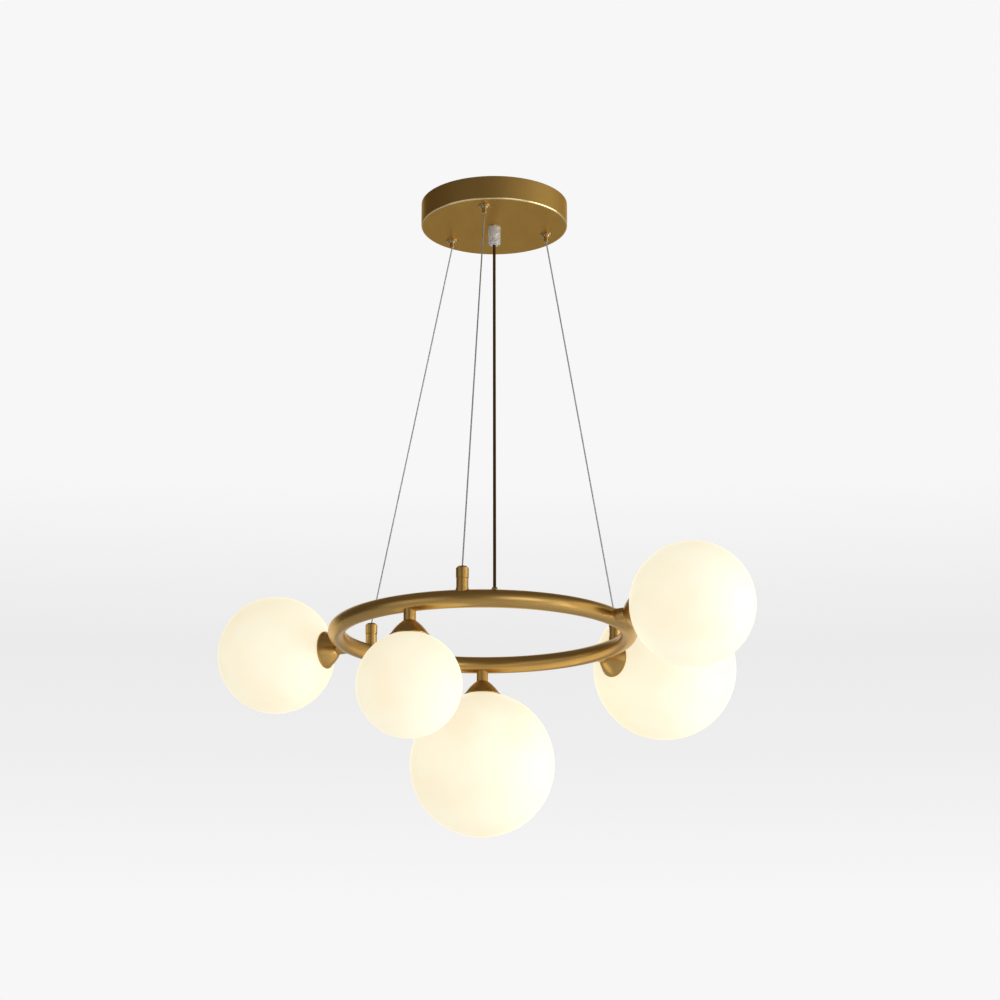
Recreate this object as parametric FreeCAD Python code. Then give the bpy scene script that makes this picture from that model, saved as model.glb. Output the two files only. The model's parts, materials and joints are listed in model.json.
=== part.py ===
"""Orb chandelier: a brass tube ring with five opal globes, hung on three cables from a round canopy.

Millimetres and degrees. The origin is on the ceiling, in the middle of the canopy. +Z is up and the
lamp hangs towards -Z. Angles are counted from +X towards +Y, which points away from the viewer.
"""
import FreeCAD, Part
import math
import os

V = FreeCAD.Vector
UP = V(0, 0, 1)
DOWN = V(0, 0, -1)

# ---------------------------------------------------------------- driving dimensions

# canopy cover: a shallow spun dish, open towards the ceiling
COVER_DIAMETER = 152.0
COVER_HEIGHT = 25.0
COVER_WALL = 1.2
COVER_EDGE_RADIUS = 1.0

# ceiling bracket: a folded strip with two slots, a supply hole and two threaded ears
BRACKET_SHEET = 2.0
BRACKET_WIDTH = 24.0
BRACKET_EAR_DEPTH = 15.0
EAR_TO_COVER = 2.0
SLOT_SPACING = 90.0
SLOT_LENGTH = 16.0
SLOT_WIDTH = 5.2
SUPPLY_HOLE_DIAMETER = 11.0
SIDE_SCREW_DIAMETER = 4.0
SIDE_SCREW_LENGTH = 9.5
SIDE_SCREW_DEPTH = 8.0
SIDE_SCREW_RECESS = 0.2
SOCKET_ACROSS_FLATS = 2.0
SOCKET_DEPTH = 2.0

# cable grippers: threaded barrels through the cover, each with a sprung plunger round its cable
GRIPPER_COUNT = 3
GRIPPER_CIRCLE_RADIUS = 58.0
GRIPPER_FIRST_ANGLE = -100.0
FLANGE_DIAMETER = 12.0
FLANGE_THICKNESS = 1.2
NOSE_DIAMETER = 7.6
NOSE_HEIGHT = 1.5
BARREL_DIAMETER = 10.0
BARREL_LENGTH = 16.0
BARREL_END_WALL = 1.2
PLUNGER_DIAMETER = 4.8
PLUNGER_REACH = 5.4
PLUNGER_HEAD_DIAMETER = 7.0
PLUNGER_HEAD_LENGTH = 3.5
PLUNGER_SHOULDER = 3.0
PLUNGER_CHAMFER = 0.4
SPRING_DIAMETER = 6.0
SPRING_WIRE_DIAMETER = 0.5
SPRING_TURNS = 6
METAL_NUT_ACROSS_FLATS = 14.0
METAL_NUT_THICKNESS = 3.0

# suspension cables
CABLE_DIAMETER = 1.5
CABLE_TAIL_LENGTH = 3.0

# cord grip in the middle of the cover
CORD_DIAMETER = 3.0
GRIP_DIAMETER = 13.0
GRIP_LENGTH = 20.0
GRIP_CHAMFER = 2.0
GRIP_SHANK_DIAMETER = 9.6
GRIP_SHANK_LENGTH = 9.0
GRIP_SCREW_DIAMETER = 4.0
GRIP_SCREW_DEPTH = 10.5
CROSS_LENGTH = 2.4
CROSS_WIDTH = 0.6
CROSS_DEPTH = 1.0
GRIP_NUT_THICKNESS = 3.5
JACKET_END = 2.0

# terminal block and earth screw under the bracket
POLE_COUNT = 3
POLE_PITCH = 8.0
BLOCK_WIDTH = 16.0
BLOCK_HEIGHT = 12.0
BLOCK_START_X = 11.0
POLE_HOLE_DIAMETER = 2.6
TERMINAL_SCREW_DIAMETER = 3.0
TERMINAL_SCREW_LENGTH = 4.0
EARTH_SCREW_X = -20.0
EARTH_SCREW_DIAMETER = 4.0
EARTH_HEAD_DIAMETER = 7.0
EARTH_HEAD_HEIGHT = 2.4
EARTH_SCREW_RECESS = 0.2
DRIVER_SLOT_WIDTH = 0.8
DRIVER_SLOT_DEPTH = 0.9
LEAD_DIAMETER = 1.6
LEAD_SIDE_ROOM = 5.0
LEAD_INSERTION = 4.0
LEAD_PITCH = 1.76
LANE_PITCH = 2.1
LEAD_STRAIGHT = 3.0
EARTH_LEAD_STRAIGHT = 4.0
EARTH_LEAD_RUN = 7.0

# ring
RING_RADIUS = 144.8
TUBE_DIAMETER = 17.2
TUBE_WALL = 1.2
RING_DROP = 460.7
RING_SHIFT_X = -11.0
RING_SHIFT_Y = -6.0

# cable anchors on the ring: a post with a screwed cap
POST_FIRST_ANGLE = -97.5
COLLAR_DIAMETER = 12.6
COLLAR_HEIGHT = 1.2
POST_DIAMETER = 11.5
POST_HEIGHT = 10.6
GROOVE_DIAMETER = 9.8
GROOVE_HEIGHT = 0.8
SPIGOT_DIAMETER = 7.8
SPIGOT_LENGTH = 3.6
STUD_DIAMETER = 6.0
CAP_DIAMETER = 12.2
CAP_HEIGHT = 11.0
CAP_CHAMFER = 1.6
CAP_END_WALL = 2.0
SPIGOT_END_ROOM = 0.4
STUD_OVERLAP = 0.5
STOP_DIAMETER = 4.6
STOP_LENGTH = 3.2

# where the cord enters the ring
CORD_ENTRY_ANGLE = -85.5
BUSHING_DIAMETER = 6.6
BUSHING_TOP_DIAMETER = 4.2
BUSHING_HEIGHT = 2.4
BUSHING_FOOT_HEIGHT = 0.3
BUSHING_SHANK_DIAMETER = 5.2

# arms: globe diameter, place on the ring and direction; lengths run from the tube's centreline
SMALL_GLOBE_DIAMETER = 100.0
MEDIUM_GLOBE_DIAMETER = 120.0
LARGE_GLOBE_DIAMETER = 150.0
ARMS = (
    {"angle": 155.3, "points": "outwards", "globe": MEDIUM_GLOBE_DIAMETER},
    {"angle": 241.8, "points": "down", "globe": SMALL_GLOBE_DIAMETER},
    {"angle": 90.4, "points": "down", "globe": LARGE_GLOBE_DIAMETER},
    {"angle": -32.2, "points": "outwards", "globe": MEDIUM_GLOBE_DIAMETER},
    {"angle": 40.1, "points": "outwards", "globe": LARGE_GLOBE_DIAMETER},
)
NECK_DIAMETER = 11.8
NECK_END = 17.5
NIPPLE_DIAMETER = 10.0
NIPPLE_BORE = 7.0
NIPPLE_END = 24.6

# globe cup: turned brass, with a threaded land for the glass and a recess for the seal
CUP_FOOT_DIAMETER = 12.6
CUP_RIM_DIAMETER = 38.0
CUP_LENGTH = 14.5
CUP_BULGE = 0.9
CUP_FLOOR = 2.6
CUP_WALL = 1.2
LIP_HEIGHT = 1.1
LIP_STEP = 0.6
LIP_FLAT = 0.4
LIP_BEVEL = 1.4
LAND_DEPTH = 2.4
ARM_NUT_ACROSS_FLATS = 13.0
ARM_NUT_THICKNESS = 2.5

# glass globes: the neck stands a shoulder's width inside the cup's rim
GLASS_WALL = 2.5
GLASS_SHOULDER = 6.0
GLASS_NECK_DIAMETER = CUP_RIM_DIAMETER - 2 * GLASS_SHOULDER
GLASS_NECK_DEPTH = 6.4

# lamp holder and lamp: the holder stands free inside the glass neck
HOLDER_ROOM = 1.5
HOLDER_DIAMETER = GLASS_NECK_DIAMETER - 2 * GLASS_WALL - 2 * HOLDER_ROOM
HOLDER_LENGTH = 12.9
HOLDER_SOCKET_DEPTH = 2.5
HOLDER_CHAMFER = 0.8
PIN_SPACING = 9.0
PIN_DIAMETER = 1.8
PIN_LENGTH = 8.5
BULB_DIAMETER = 16.0
BULB_BASE_DIAMETER = 13.0
BULB_BASE_LENGTH = 8.0
BULB_LENGTH = 50.0

# wiring in the ring
LOOM_DIAMETER = 4.0
ARM_LEAD_DIAMETER = 1.8
ARM_LEAD_SPACING = 2.8

# clearances
THREAD_CLEARANCE = 0.05    # radial, a screw in its thread
HOLE_CLEARANCE = 0.15      # radial, a bolt or barrel through a plain hole
RUNNING_CLEARANCE = 0.1    # radial, plunger in its barrel, cord in its grip
CABLE_CLEARANCE = 0.3      # radial, round a cable
GLASS_CLEARANCE = 0.3      # between glass and metal, and glass and seal
PIN_CLEARANCE = 0.4        # radial, lamp pin in its hole
PAST = 1.0                 # how far a hole's cutting shape runs past the faces

# an arc at a corner of a route takes this share of the shorter run
BEND_SHARE = 0.45

# ---------------------------------------------------------------- places worked out from them

FACE_Z = -COVER_HEIGHT
FACE_INSIDE_Z = FACE_Z + COVER_WALL
COVER_INSIDE_RADIUS = COVER_DIAMETER / 2 - COVER_WALL
PLUNGER_TIP_Z = FACE_Z - FLANGE_THICKNESS - NOSE_HEIGHT - PLUNGER_REACH
CORD_EXIT_Z = FACE_Z - GRIP_LENGTH

TUBE_RADIUS = TUBE_DIAMETER / 2
TUBE_BORE_RADIUS = TUBE_RADIUS - TUBE_WALL
RING_CENTRE = V(RING_SHIFT_X, RING_SHIFT_Y, -RING_DROP)
TUBE_TOP_Z = TUBE_RADIUS - RING_DROP
SADDLE_ROOM = TUBE_RADIUS / 2

CAP_BOTTOM = POST_HEIGHT + GROOVE_HEIGHT
CAP_TOP = CAP_BOTTOM + CAP_HEIGHT
CAP_TOP_Z = TUBE_TOP_Z + CAP_TOP

CUP_RIM = NECK_END + CUP_LENGTH
CUP_FLOOR_TOP = NECK_END + CUP_FLOOR
LAND_TOP = CUP_RIM - LAND_DEPTH
GLASS_NECK_RADIUS = GLASS_NECK_DIAMETER / 2
GLASS_NECK_END = CUP_RIM - GLASS_NECK_DEPTH
LAND_RADIUS = GLASS_NECK_RADIUS + GLASS_CLEARANCE
LIP_EDGE_RADIUS = CUP_RIM_DIAMETER / 2 - LIP_FLAT
HOLDER_BASE = CUP_FLOOR_TOP + ARM_NUT_THICKNESS
HOLDER_FACE = HOLDER_BASE + HOLDER_LENGTH


def polar(radius, angle, z=0.0, centre=V(0, 0, 0)):
    """The point at a radius and an angle from a vertical axis through centre."""
    turn = math.radians(angle)
    return V(centre.x + radius * math.cos(turn), centre.y + radius * math.sin(turn), centre.z + z)


CORD_ENTRY = polar(RING_RADIUS, CORD_ENTRY_ANGLE, TUBE_RADIUS + BUSHING_HEIGHT, RING_CENTRE)

# the cord's route: straight out of the grip, a long straight stretch, and straight into the bushing
CORD_ROUTE = (
    V(0, 0, CORD_EXIT_Z),
    V(0, 0, CORD_EXIT_Z - 13),
    V(0, -6, CORD_EXIT_Z - 39),
    CORD_ENTRY + V(0, 7, 37),
    CORD_ENTRY + V(0, 0, 12),
    CORD_ENTRY,
)

# ---------------------------------------------------------------- helpers


def outline(start, *steps):
    """Closed outline in radius and height. A step is a point, or a pair: through and end of an arc."""
    def place(point):
        return V(point[0], 0, point[1])

    edges = []
    here = place(start)
    for step in steps + (start,):
        if isinstance(step[0], tuple):
            through, end = place(step[0]), place(step[1])
            edges.append(Part.Arc(here, through, end).toShape())
        else:
            end = place(step)
            edges.append(Part.LineSegment(here, end).toShape())
        here = end
    return Part.Face(Part.Wire(edges))


def turned(start, *steps):
    """A solid of revolution about Z."""
    return outline(start, *steps).revolve(V(0, 0, 0), UP, 360)


def rod(diameter, low, high, x=0.0, y=0.0):
    """A cylinder along Z between two heights."""
    return Part.makeCylinder(diameter / 2, high - low, V(x, y, low))


def rod_between(diameter, start, end):
    """A cylinder from one point to another."""
    line = end - start
    return Part.makeCylinder(diameter / 2, line.Length, start, line)


def hexagon(across_flats, low, high):
    """A hexagonal prism along Z."""
    corner = across_flats / math.sqrt(3)
    corners = [polar(corner, 60 * i, low) for i in range(6)]
    return Part.Face(Part.makePolygon(corners + corners[:1])).extrude(UP * (high - low))


def nut(across_flats, thread_diameter, low, high):
    """A plain hexagon nut with its threaded hole."""
    hole = rod(thread_diameter + 2 * THREAD_CLEARANCE, low - PAST, high + PAST)
    return hexagon(across_flats, low, high).cut(hole)


def block(low, high):
    """A box between two corners."""
    size = high - low
    return Part.makeBox(size.x, size.y, size.z, low)


def stand(shape, base, direction=UP):
    """Moves a shape built along +Z to a base point, pointing in a direction."""
    copy = shape.copy()
    copy.Placement = FreeCAD.Placement(base, FreeCAD.Rotation(UP, direction))
    return copy


def group(shapes):
    """Separate solids that share one node."""
    return Part.makeCompound(shapes)


def bend_radius(before, corner, after):
    """The largest arc that the runs at a corner of a route allow."""
    back, ahead = before - corner, after - corner
    half_turn = (math.pi - back.getAngle(ahead)) / 2
    return BEND_SHARE * min(back.Length, ahead.Length) / math.tan(half_turn)


def rounded_path(points):
    """Straight runs joined by tangent arcs."""
    edges = []
    here = points[0]
    for before, corner, after in zip(points, points[1:], points[2:]):
        back, ahead = (before - corner).normalize(), (after - corner).normalize()
        reach = BEND_SHARE * min((before - corner).Length, (after - corner).Length)
        start, end = corner + back * reach, corner + ahead * reach
        radius = bend_radius(before, corner, after)
        middle = (back + ahead).normalize()
        half_turn = (math.pi - back.getAngle(ahead)) / 2
        through = corner + middle * (radius / math.cos(half_turn) - radius)
        edges.append(Part.LineSegment(here, start).toShape())
        edges.append(Part.Arc(start, through, end).toShape())
        here = end
    edges.append(Part.LineSegment(here, points[-1]).toShape())
    return Part.Wire(edges)


def tube_along(diameter, points):
    """A round cord or lead along a route."""
    path = rounded_path(points)
    section = Part.Wire(Part.Circle(points[0], points[1] - points[0], diameter / 2).toShape())
    return path.makePipeShell([section], True, False), path.Length


def coil(diameter, wire_diameter, height, turns):
    """An unbroken coil spring along +Z on quarter turn arcs, standing on z = 0."""
    def at(turn):
        spot = polar(diameter / 2 - wire_diameter / 2, turn)
        return spot + UP * (wire_diameter / 2 + rise * turn / 360)

    rise = (height - wire_diameter) / turns
    quarters = [90 * i for i in range(4 * turns)]
    path = Part.Wire([Part.Arc(at(q), at(q + 45), at(q + 90)).toShape() for q in quarters])
    section = Part.Wire(Part.Circle(at(0), at(1) - at(-1), wire_diameter / 2).toShape())
    return path.makePipeShell([section], True, False)


# ---------------------------------------------------------------- canopy


def canopy_cover():
    radius = COVER_DIAMETER / 2
    edge = COVER_EDGE_RADIUS
    corner = edge * (1 - math.sqrt(0.5))
    dish = turned(
        (0, FACE_Z), (radius - edge, FACE_Z),
        ((radius - corner, FACE_Z + corner), (radius, FACE_Z + edge)),
        (radius, 0), (COVER_INSIDE_RADIUS, 0), (COVER_INSIDE_RADIUS, FACE_INSIDE_Z), (0, FACE_INSIDE_Z))
    low, high = FACE_Z - PAST, FACE_INSIDE_Z + PAST
    holes = [rod(GRIP_SHANK_DIAMETER + 2 * HOLE_CLEARANCE, low, high)]
    for spot in gripper_spots():
        holes.append(rod(BARREL_DIAMETER + 2 * HOLE_CLEARANCE, low, high, spot.x, spot.y))
    for side in (1, -1):
        outside = V(side * (radius + PAST), 0, -SIDE_SCREW_DEPTH)
        inside = V(side * (COVER_INSIDE_RADIUS - PAST), 0, -SIDE_SCREW_DEPTH)
        holes.append(rod_between(SIDE_SCREW_DIAMETER + 2 * HOLE_CLEARANCE, inside, outside))
    return dish.cut(holes)


def ear_face_x():
    """Outer face of the bracket's ears, so that their corners clear the round cover."""
    return math.sqrt((COVER_INSIDE_RADIUS - EAR_TO_COVER) ** 2 - (BRACKET_WIDTH / 2) ** 2)


def ceiling_bracket():
    end = ear_face_x()
    half = BRACKET_WIDTH / 2
    strip = block(V(-end, -half, -BRACKET_SHEET), V(end, half, 0))
    for side in (1, -1):
        low_x, high_x = sorted((side * end, side * (end - BRACKET_SHEET)))
        strip = strip.fuse(block(V(low_x, -half, -BRACKET_EAR_DEPTH), V(high_x, half, -BRACKET_SHEET)))
    strip = strip.removeSplitter()
    strip = strip.cut(rod(SUPPLY_HOLE_DIAMETER, -BRACKET_SHEET - PAST, PAST))
    straight = (SLOT_LENGTH - SLOT_WIDTH) / 2
    for side in (1, -1):
        middle = side * SLOT_SPACING / 2
        low = V(middle - straight, -SLOT_WIDTH / 2, -BRACKET_SHEET - PAST)
        high = V(middle + straight, SLOT_WIDTH / 2, PAST)
        slot = block(low, high)
        for end_x in (low.x, high.x):
            slot = slot.fuse(rod(SLOT_WIDTH, low.z, high.z, end_x))
        strip = strip.cut(slot)
        inside = V(side * (end - BRACKET_SHEET - PAST), 0, -SIDE_SCREW_DEPTH)
        outside = V(side * (end + PAST), 0, -SIDE_SCREW_DEPTH)
        strip = strip.cut(rod_between(SIDE_SCREW_DIAMETER + 2 * THREAD_CLEARANCE, inside, outside))
    earth_hole = EARTH_SCREW_DIAMETER + 2 * THREAD_CLEARANCE
    return strip.cut(rod(earth_hole, -BRACKET_SHEET - PAST, PAST, EARTH_SCREW_X))


def side_screws():
    """Headless hex socket screws, flush with the cover's wall."""
    screw = rod(SIDE_SCREW_DIAMETER, 0, SIDE_SCREW_LENGTH)
    screw = screw.cut(hexagon(SOCKET_ACROSS_FLATS, -PAST, SOCKET_DEPTH))
    outer_end = COVER_DIAMETER / 2 - SIDE_SCREW_RECESS
    return group([stand(screw, V(side * outer_end, 0, -SIDE_SCREW_DEPTH), V(-side, 0, 0))
                  for side in (1, -1)])


def gripper_spots():
    """Where the grippers stand on the cover, as points in plan."""
    return [polar(GRIPPER_CIRCLE_RADIUS, GRIPPER_FIRST_ANGLE + i * 360 / GRIPPER_COUNT)
            for i in range(GRIPPER_COUNT)]


STEP_Z = FACE_Z - FLANGE_THICKNESS - NOSE_HEIGHT + PLUNGER_SHOULDER
BARREL_TOP_Z = FACE_Z + BARREL_LENGTH
CHAMBER_TOP_Z = BARREL_TOP_Z - BARREL_END_WALL
CHAMBER_RADIUS = PLUNGER_HEAD_DIAMETER / 2 + RUNNING_CLEARANCE
HEAD_TOP_Z = STEP_Z + PLUNGER_HEAD_LENGTH


def cable_gripper():
    """Flange, nose and threaded barrel, bored for plunger, spring and cable."""
    flange_bottom = FACE_Z - FLANGE_THICKNESS
    nose_bottom = flange_bottom - NOSE_HEIGHT
    guide = PLUNGER_DIAMETER / 2 + RUNNING_CLEARANCE
    cable_hole = CABLE_DIAMETER / 2 + CABLE_CLEARANCE
    return turned(
        (guide, nose_bottom), (NOSE_DIAMETER / 2, nose_bottom), (FLANGE_DIAMETER / 2, flange_bottom),
        (FLANGE_DIAMETER / 2, FACE_Z), (BARREL_DIAMETER / 2, FACE_Z), (BARREL_DIAMETER / 2, BARREL_TOP_Z),
        (cable_hole, BARREL_TOP_Z), (cable_hole, CHAMBER_TOP_Z), (CHAMBER_RADIUS, CHAMBER_TOP_Z),
        (CHAMBER_RADIUS, STEP_Z), (guide, STEP_Z))


def gripper_plunger():
    """Sleeve round the cable, with a head that rests on the barrel's step."""
    bore = CABLE_DIAMETER / 2 + CABLE_CLEARANCE
    return turned(
        (bore, PLUNGER_TIP_Z), (PLUNGER_DIAMETER / 2 - PLUNGER_CHAMFER, PLUNGER_TIP_Z),
        (PLUNGER_DIAMETER / 2, PLUNGER_TIP_Z + PLUNGER_CHAMFER), (PLUNGER_DIAMETER / 2, STEP_Z),
        (PLUNGER_HEAD_DIAMETER / 2, STEP_Z), (PLUNGER_HEAD_DIAMETER / 2, HEAD_TOP_Z), (bore, HEAD_TOP_Z))


def gripper_spring():
    height = CHAMBER_TOP_Z - HEAD_TOP_Z
    return stand(coil(SPRING_DIAMETER, SPRING_WIRE_DIAMETER, height, SPRING_TURNS), V(0, 0, HEAD_TOP_Z))


def gripper_nut():
    return nut(METAL_NUT_ACROSS_FLATS, BARREL_DIAMETER, FACE_INSIDE_Z, FACE_INSIDE_Z + METAL_NUT_THICKNESS)


def cable_tail():
    """The cable's end inside its gripper, cut off a little above the barrel."""
    return rod(CABLE_DIAMETER, PLUNGER_TIP_Z, BARREL_TOP_Z + CABLE_TAIL_LENGTH)


# ---------------------------------------------------------------- cord grip and terminals


def cord_grip():
    grip = GRIP_DIAMETER / 2
    bore = CORD_DIAMETER / 2 + RUNNING_CLEARANCE
    shank_top = FACE_Z + GRIP_SHANK_LENGTH
    body = turned(
        (bore, CORD_EXIT_Z), (grip - GRIP_CHAMFER, CORD_EXIT_Z), (grip, CORD_EXIT_Z + GRIP_CHAMFER),
        (grip, FACE_Z), (GRIP_SHANK_DIAMETER / 2, FACE_Z),
        (GRIP_SHANK_DIAMETER / 2, shank_top), (bore, shank_top))
    middle = V(0, 0, FACE_Z - GRIP_SCREW_DEPTH)
    hole = rod_between(GRIP_SCREW_DIAMETER + 2 * THREAD_CLEARANCE, middle - V(0, grip + PAST, 0), middle)
    return body.cut(hole)


def cord_grip_screw():
    """Plastic screw from the viewer's side, its tip on the cord, with a cross recess."""
    length = GRIP_DIAMETER / 2 - CORD_DIAMETER / 2
    screw = rod(GRIP_SCREW_DIAMETER, 0, length)
    reach, half = CROSS_LENGTH / 2, CROSS_WIDTH / 2
    for turn in (0, 90):
        bar = block(V(-reach, -half, -PAST), V(reach, half, CROSS_DEPTH))
        bar.rotate(V(0, 0, 0), UP, turn)
        screw = screw.cut(bar)
    return stand(screw, V(0, -GRIP_DIAMETER / 2, FACE_Z - GRIP_SCREW_DEPTH), V(0, 1, 0))


def cord_grip_nut():
    return nut(METAL_NUT_ACROSS_FLATS, GRIP_SHANK_DIAMETER, FACE_INSIDE_Z, FACE_INSIDE_Z + GRIP_NUT_THICKNESS)


def pole_x(i):
    return BLOCK_START_X + (i + 0.5) * POLE_PITCH


BLOCK_BOTTOM_Z = -BRACKET_SHEET - BLOCK_HEIGHT
POLE_Z = -BRACKET_SHEET - BLOCK_HEIGHT / 3
POLE_SCREW_Y = BLOCK_WIDTH / 4


def terminal_block():
    low = V(BLOCK_START_X, -BLOCK_WIDTH / 2, BLOCK_BOTTOM_Z)
    high = V(BLOCK_START_X + POLE_COUNT * POLE_PITCH, BLOCK_WIDTH / 2, -BRACKET_SHEET)
    body = block(low, high)
    hole = TERMINAL_SCREW_DIAMETER + 2 * THREAD_CLEARANCE
    for i in range(POLE_COUNT):
        start, end = V(pole_x(i), low.y - PAST, POLE_Z), V(pole_x(i), high.y + PAST, POLE_Z)
        body = body.cut(rod_between(POLE_HOLE_DIAMETER, start, end))
        for side in (1, -1):
            body = body.cut(rod(hole, BLOCK_BOTTOM_Z - PAST, POLE_Z, pole_x(i), side * POLE_SCREW_Y))
    return body


def driver_slot(head_diameter, bottom, x=0.0):
    """The slot across the underside of a screw's head."""
    return block(V(x - head_diameter, -DRIVER_SLOT_WIDTH / 2, bottom - PAST),
                 V(x + head_diameter, DRIVER_SLOT_WIDTH / 2, bottom + DRIVER_SLOT_DEPTH))


def terminal_screws():
    """Slotted clamp screws, two for each pole, recessed in the block's underside."""
    top = POLE_Z - POLE_HOLE_DIAMETER / 2
    bottom = top - TERMINAL_SCREW_LENGTH
    screw = rod(TERMINAL_SCREW_DIAMETER, bottom, top).cut(driver_slot(TERMINAL_SCREW_DIAMETER, bottom))
    return group([stand(screw, V(pole_x(i), side * POLE_SCREW_Y, 0))
                  for i in range(POLE_COUNT) for side in (1, -1)])


def earth_screw():
    head_bottom = -BRACKET_SHEET - EARTH_HEAD_HEIGHT
    screw = rod(EARTH_SCREW_DIAMETER, -BRACKET_SHEET, -EARTH_SCREW_RECESS, EARTH_SCREW_X)
    head = rod(EARTH_HEAD_DIAMETER, head_bottom, -BRACKET_SHEET, EARTH_SCREW_X)
    return screw.fuse(head).cut(driver_slot(EARTH_HEAD_DIAMETER, head_bottom, EARTH_SCREW_X))


def canopy_leads():
    """The cord's end in the grip, two leads to the block and one to the earth screw."""
    jacket_top = FACE_Z + GRIP_SHANK_LENGTH + JACKET_END
    jacket = rod(CORD_DIAMETER, CORD_EXIT_Z, jacket_top)
    spread = LEAD_PITCH / 2
    side_y = -BLOCK_WIDTH / 2 - LEAD_SIDE_ROOM
    pieces = [jacket]
    for i, start_x in ((0, spread), (1, -spread)):
        lane_y = side_y - i * LANE_PITCH
        route = [
            V(start_x, -spread, jacket_top), V(start_x, -spread, jacket_top + LEAD_STRAIGHT),
            V(2 * start_x, lane_y, POLE_Z), V(pole_x(i), lane_y, POLE_Z),
            V(pole_x(i), -BLOCK_WIDTH / 2 + LEAD_INSERTION, POLE_Z)]
        pieces.append(tube_along(LEAD_DIAMETER, route)[0])
    head_side = EARTH_SCREW_X + EARTH_HEAD_DIAMETER / 2 + THREAD_CLEARANCE
    head_z = -BRACKET_SHEET - EARTH_HEAD_HEIGHT / 2
    route = [V(0, spread, jacket_top), V(0, spread, jacket_top + EARTH_LEAD_STRAIGHT),
             V(head_side + EARTH_LEAD_RUN, 0, head_z), V(head_side, 0, head_z)]
    pieces.append(tube_along(LEAD_DIAMETER, route)[0])
    return group(pieces)


# ---------------------------------------------------------------- cables and cord


def post_spots():
    """Where the posts stand on the ring, as points at the tube's top."""
    return [polar(RING_RADIUS, POST_FIRST_ANGLE + i * 360 / GRIPPER_COUNT, TUBE_RADIUS, RING_CENTRE)
            for i in range(GRIPPER_COUNT)]


def suspension_cable(gripper, post):
    """Wire rope from the plunger's tip to the cap's top, cut level at both."""
    top = V(gripper.x, gripper.y, PLUNGER_TIP_Z)
    bottom = V(post.x, post.y, CAP_TOP_Z)
    along = (top - bottom).normalize()
    rope = rod_between(CABLE_DIAMETER, bottom - along * CABLE_DIAMETER, top + along * CABLE_DIAMETER)
    room = RING_RADIUS * 2
    between = block(V(-room, -room, CAP_TOP_Z), V(room, room, PLUNGER_TIP_Z))
    return rope.common(between)


def power_cord():
    cord, length = tube_along(CORD_DIAMETER, CORD_ROUTE)
    share = cord.Volume / (math.pi * CORD_DIAMETER ** 2 / 4 * length)
    radii = [bend_radius(*corner) for corner in zip(CORD_ROUTE, CORD_ROUTE[1:], CORD_ROUTE[2:])]
    print("cord length", round(length, 1), "bend radii", [round(radius, 1) for radius in radii],
          "volume over section times length", round(share, 4))
    return cord


# ---------------------------------------------------------------- ring


def ring_solid():
    """The full torus of the tube's outside, which the pieces on it are fitted to."""
    return Part.makeTorus(RING_RADIUS, TUBE_RADIUS, RING_CENTRE, UP)


def arm_direction(arm):
    if arm["points"] == "down":
        return DOWN
    return polar(1.0, arm["angle"])


def arm_base(arm):
    return polar(RING_RADIUS, arm["angle"], 0, RING_CENTRE)


def on_arm(shape, arm):
    """Moves a piece built along +Z, from the tube's centreline, onto its arm."""
    return stand(shape, arm_base(arm), arm_direction(arm))


def ring_tube():
    tube = ring_solid().cut(Part.makeTorus(RING_RADIUS, TUBE_BORE_RADIUS, RING_CENTRE, UP))
    arm_hole = rod(NIPPLE_DIAMETER + 2 * HOLE_CLEARANCE, 0, TUBE_RADIUS + PAST)
    holes = [on_arm(arm_hole, arm) for arm in ARMS]
    stud_hole = rod(STUD_DIAMETER + 2 * THREAD_CLEARANCE, -TUBE_RADIUS, PAST)
    holes += [stand(stud_hole, spot) for spot in post_spots()]
    cord_hole = rod(BUSHING_SHANK_DIAMETER + 2 * THREAD_CLEARANCE, -TUBE_RADIUS, PAST)
    holes.append(stand(cord_hole, CORD_ENTRY - UP * BUSHING_HEIGHT))
    return tube.cut(holes)


def cable_posts():
    """Turned posts: a collar fitted to the tube, a stud through its wall and a spigot for the cap."""
    above = turned(
        (0, -SADDLE_ROOM), (COLLAR_DIAMETER / 2, -SADDLE_ROOM), (COLLAR_DIAMETER / 2, COLLAR_HEIGHT),
        (POST_DIAMETER / 2, COLLAR_HEIGHT), (POST_DIAMETER / 2, POST_HEIGHT),
        (GROOVE_DIAMETER / 2, POST_HEIGHT), (GROOVE_DIAMETER / 2, CAP_BOTTOM),
        (SPIGOT_DIAMETER / 2, CAP_BOTTOM),
        (SPIGOT_DIAMETER / 2, CAP_BOTTOM + SPIGOT_LENGTH), (0, CAP_BOTTOM + SPIGOT_LENGTH))
    stud = rod(STUD_DIAMETER, -2 * TUBE_WALL, STUD_OVERLAP)
    return group([stand(above, spot).cut(ring_solid()).fuse(stand(stud, spot)) for spot in post_spots()])


def post_cap():
    """Cap screwed on the post's spigot; the cable passes through its top."""
    spigot_room = CAP_BOTTOM + SPIGOT_LENGTH + SPIGOT_END_ROOM
    under_top = CAP_TOP - CAP_END_WALL
    spigot_hole = SPIGOT_DIAMETER / 2 + THREAD_CLEARANCE
    stop_room = STOP_DIAMETER / 2 + CABLE_CLEARANCE
    cable_hole = CABLE_DIAMETER / 2 + CABLE_CLEARANCE
    return turned(
        (spigot_hole, CAP_BOTTOM), (CAP_DIAMETER / 2, CAP_BOTTOM), (CAP_DIAMETER / 2, CAP_TOP - CAP_CHAMFER),
        (CAP_DIAMETER / 2 - CAP_CHAMFER, CAP_TOP), (cable_hole, CAP_TOP), (cable_hole, under_top),
        (stop_room, under_top), (stop_room, spigot_room), (spigot_hole, spigot_room))


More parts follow.
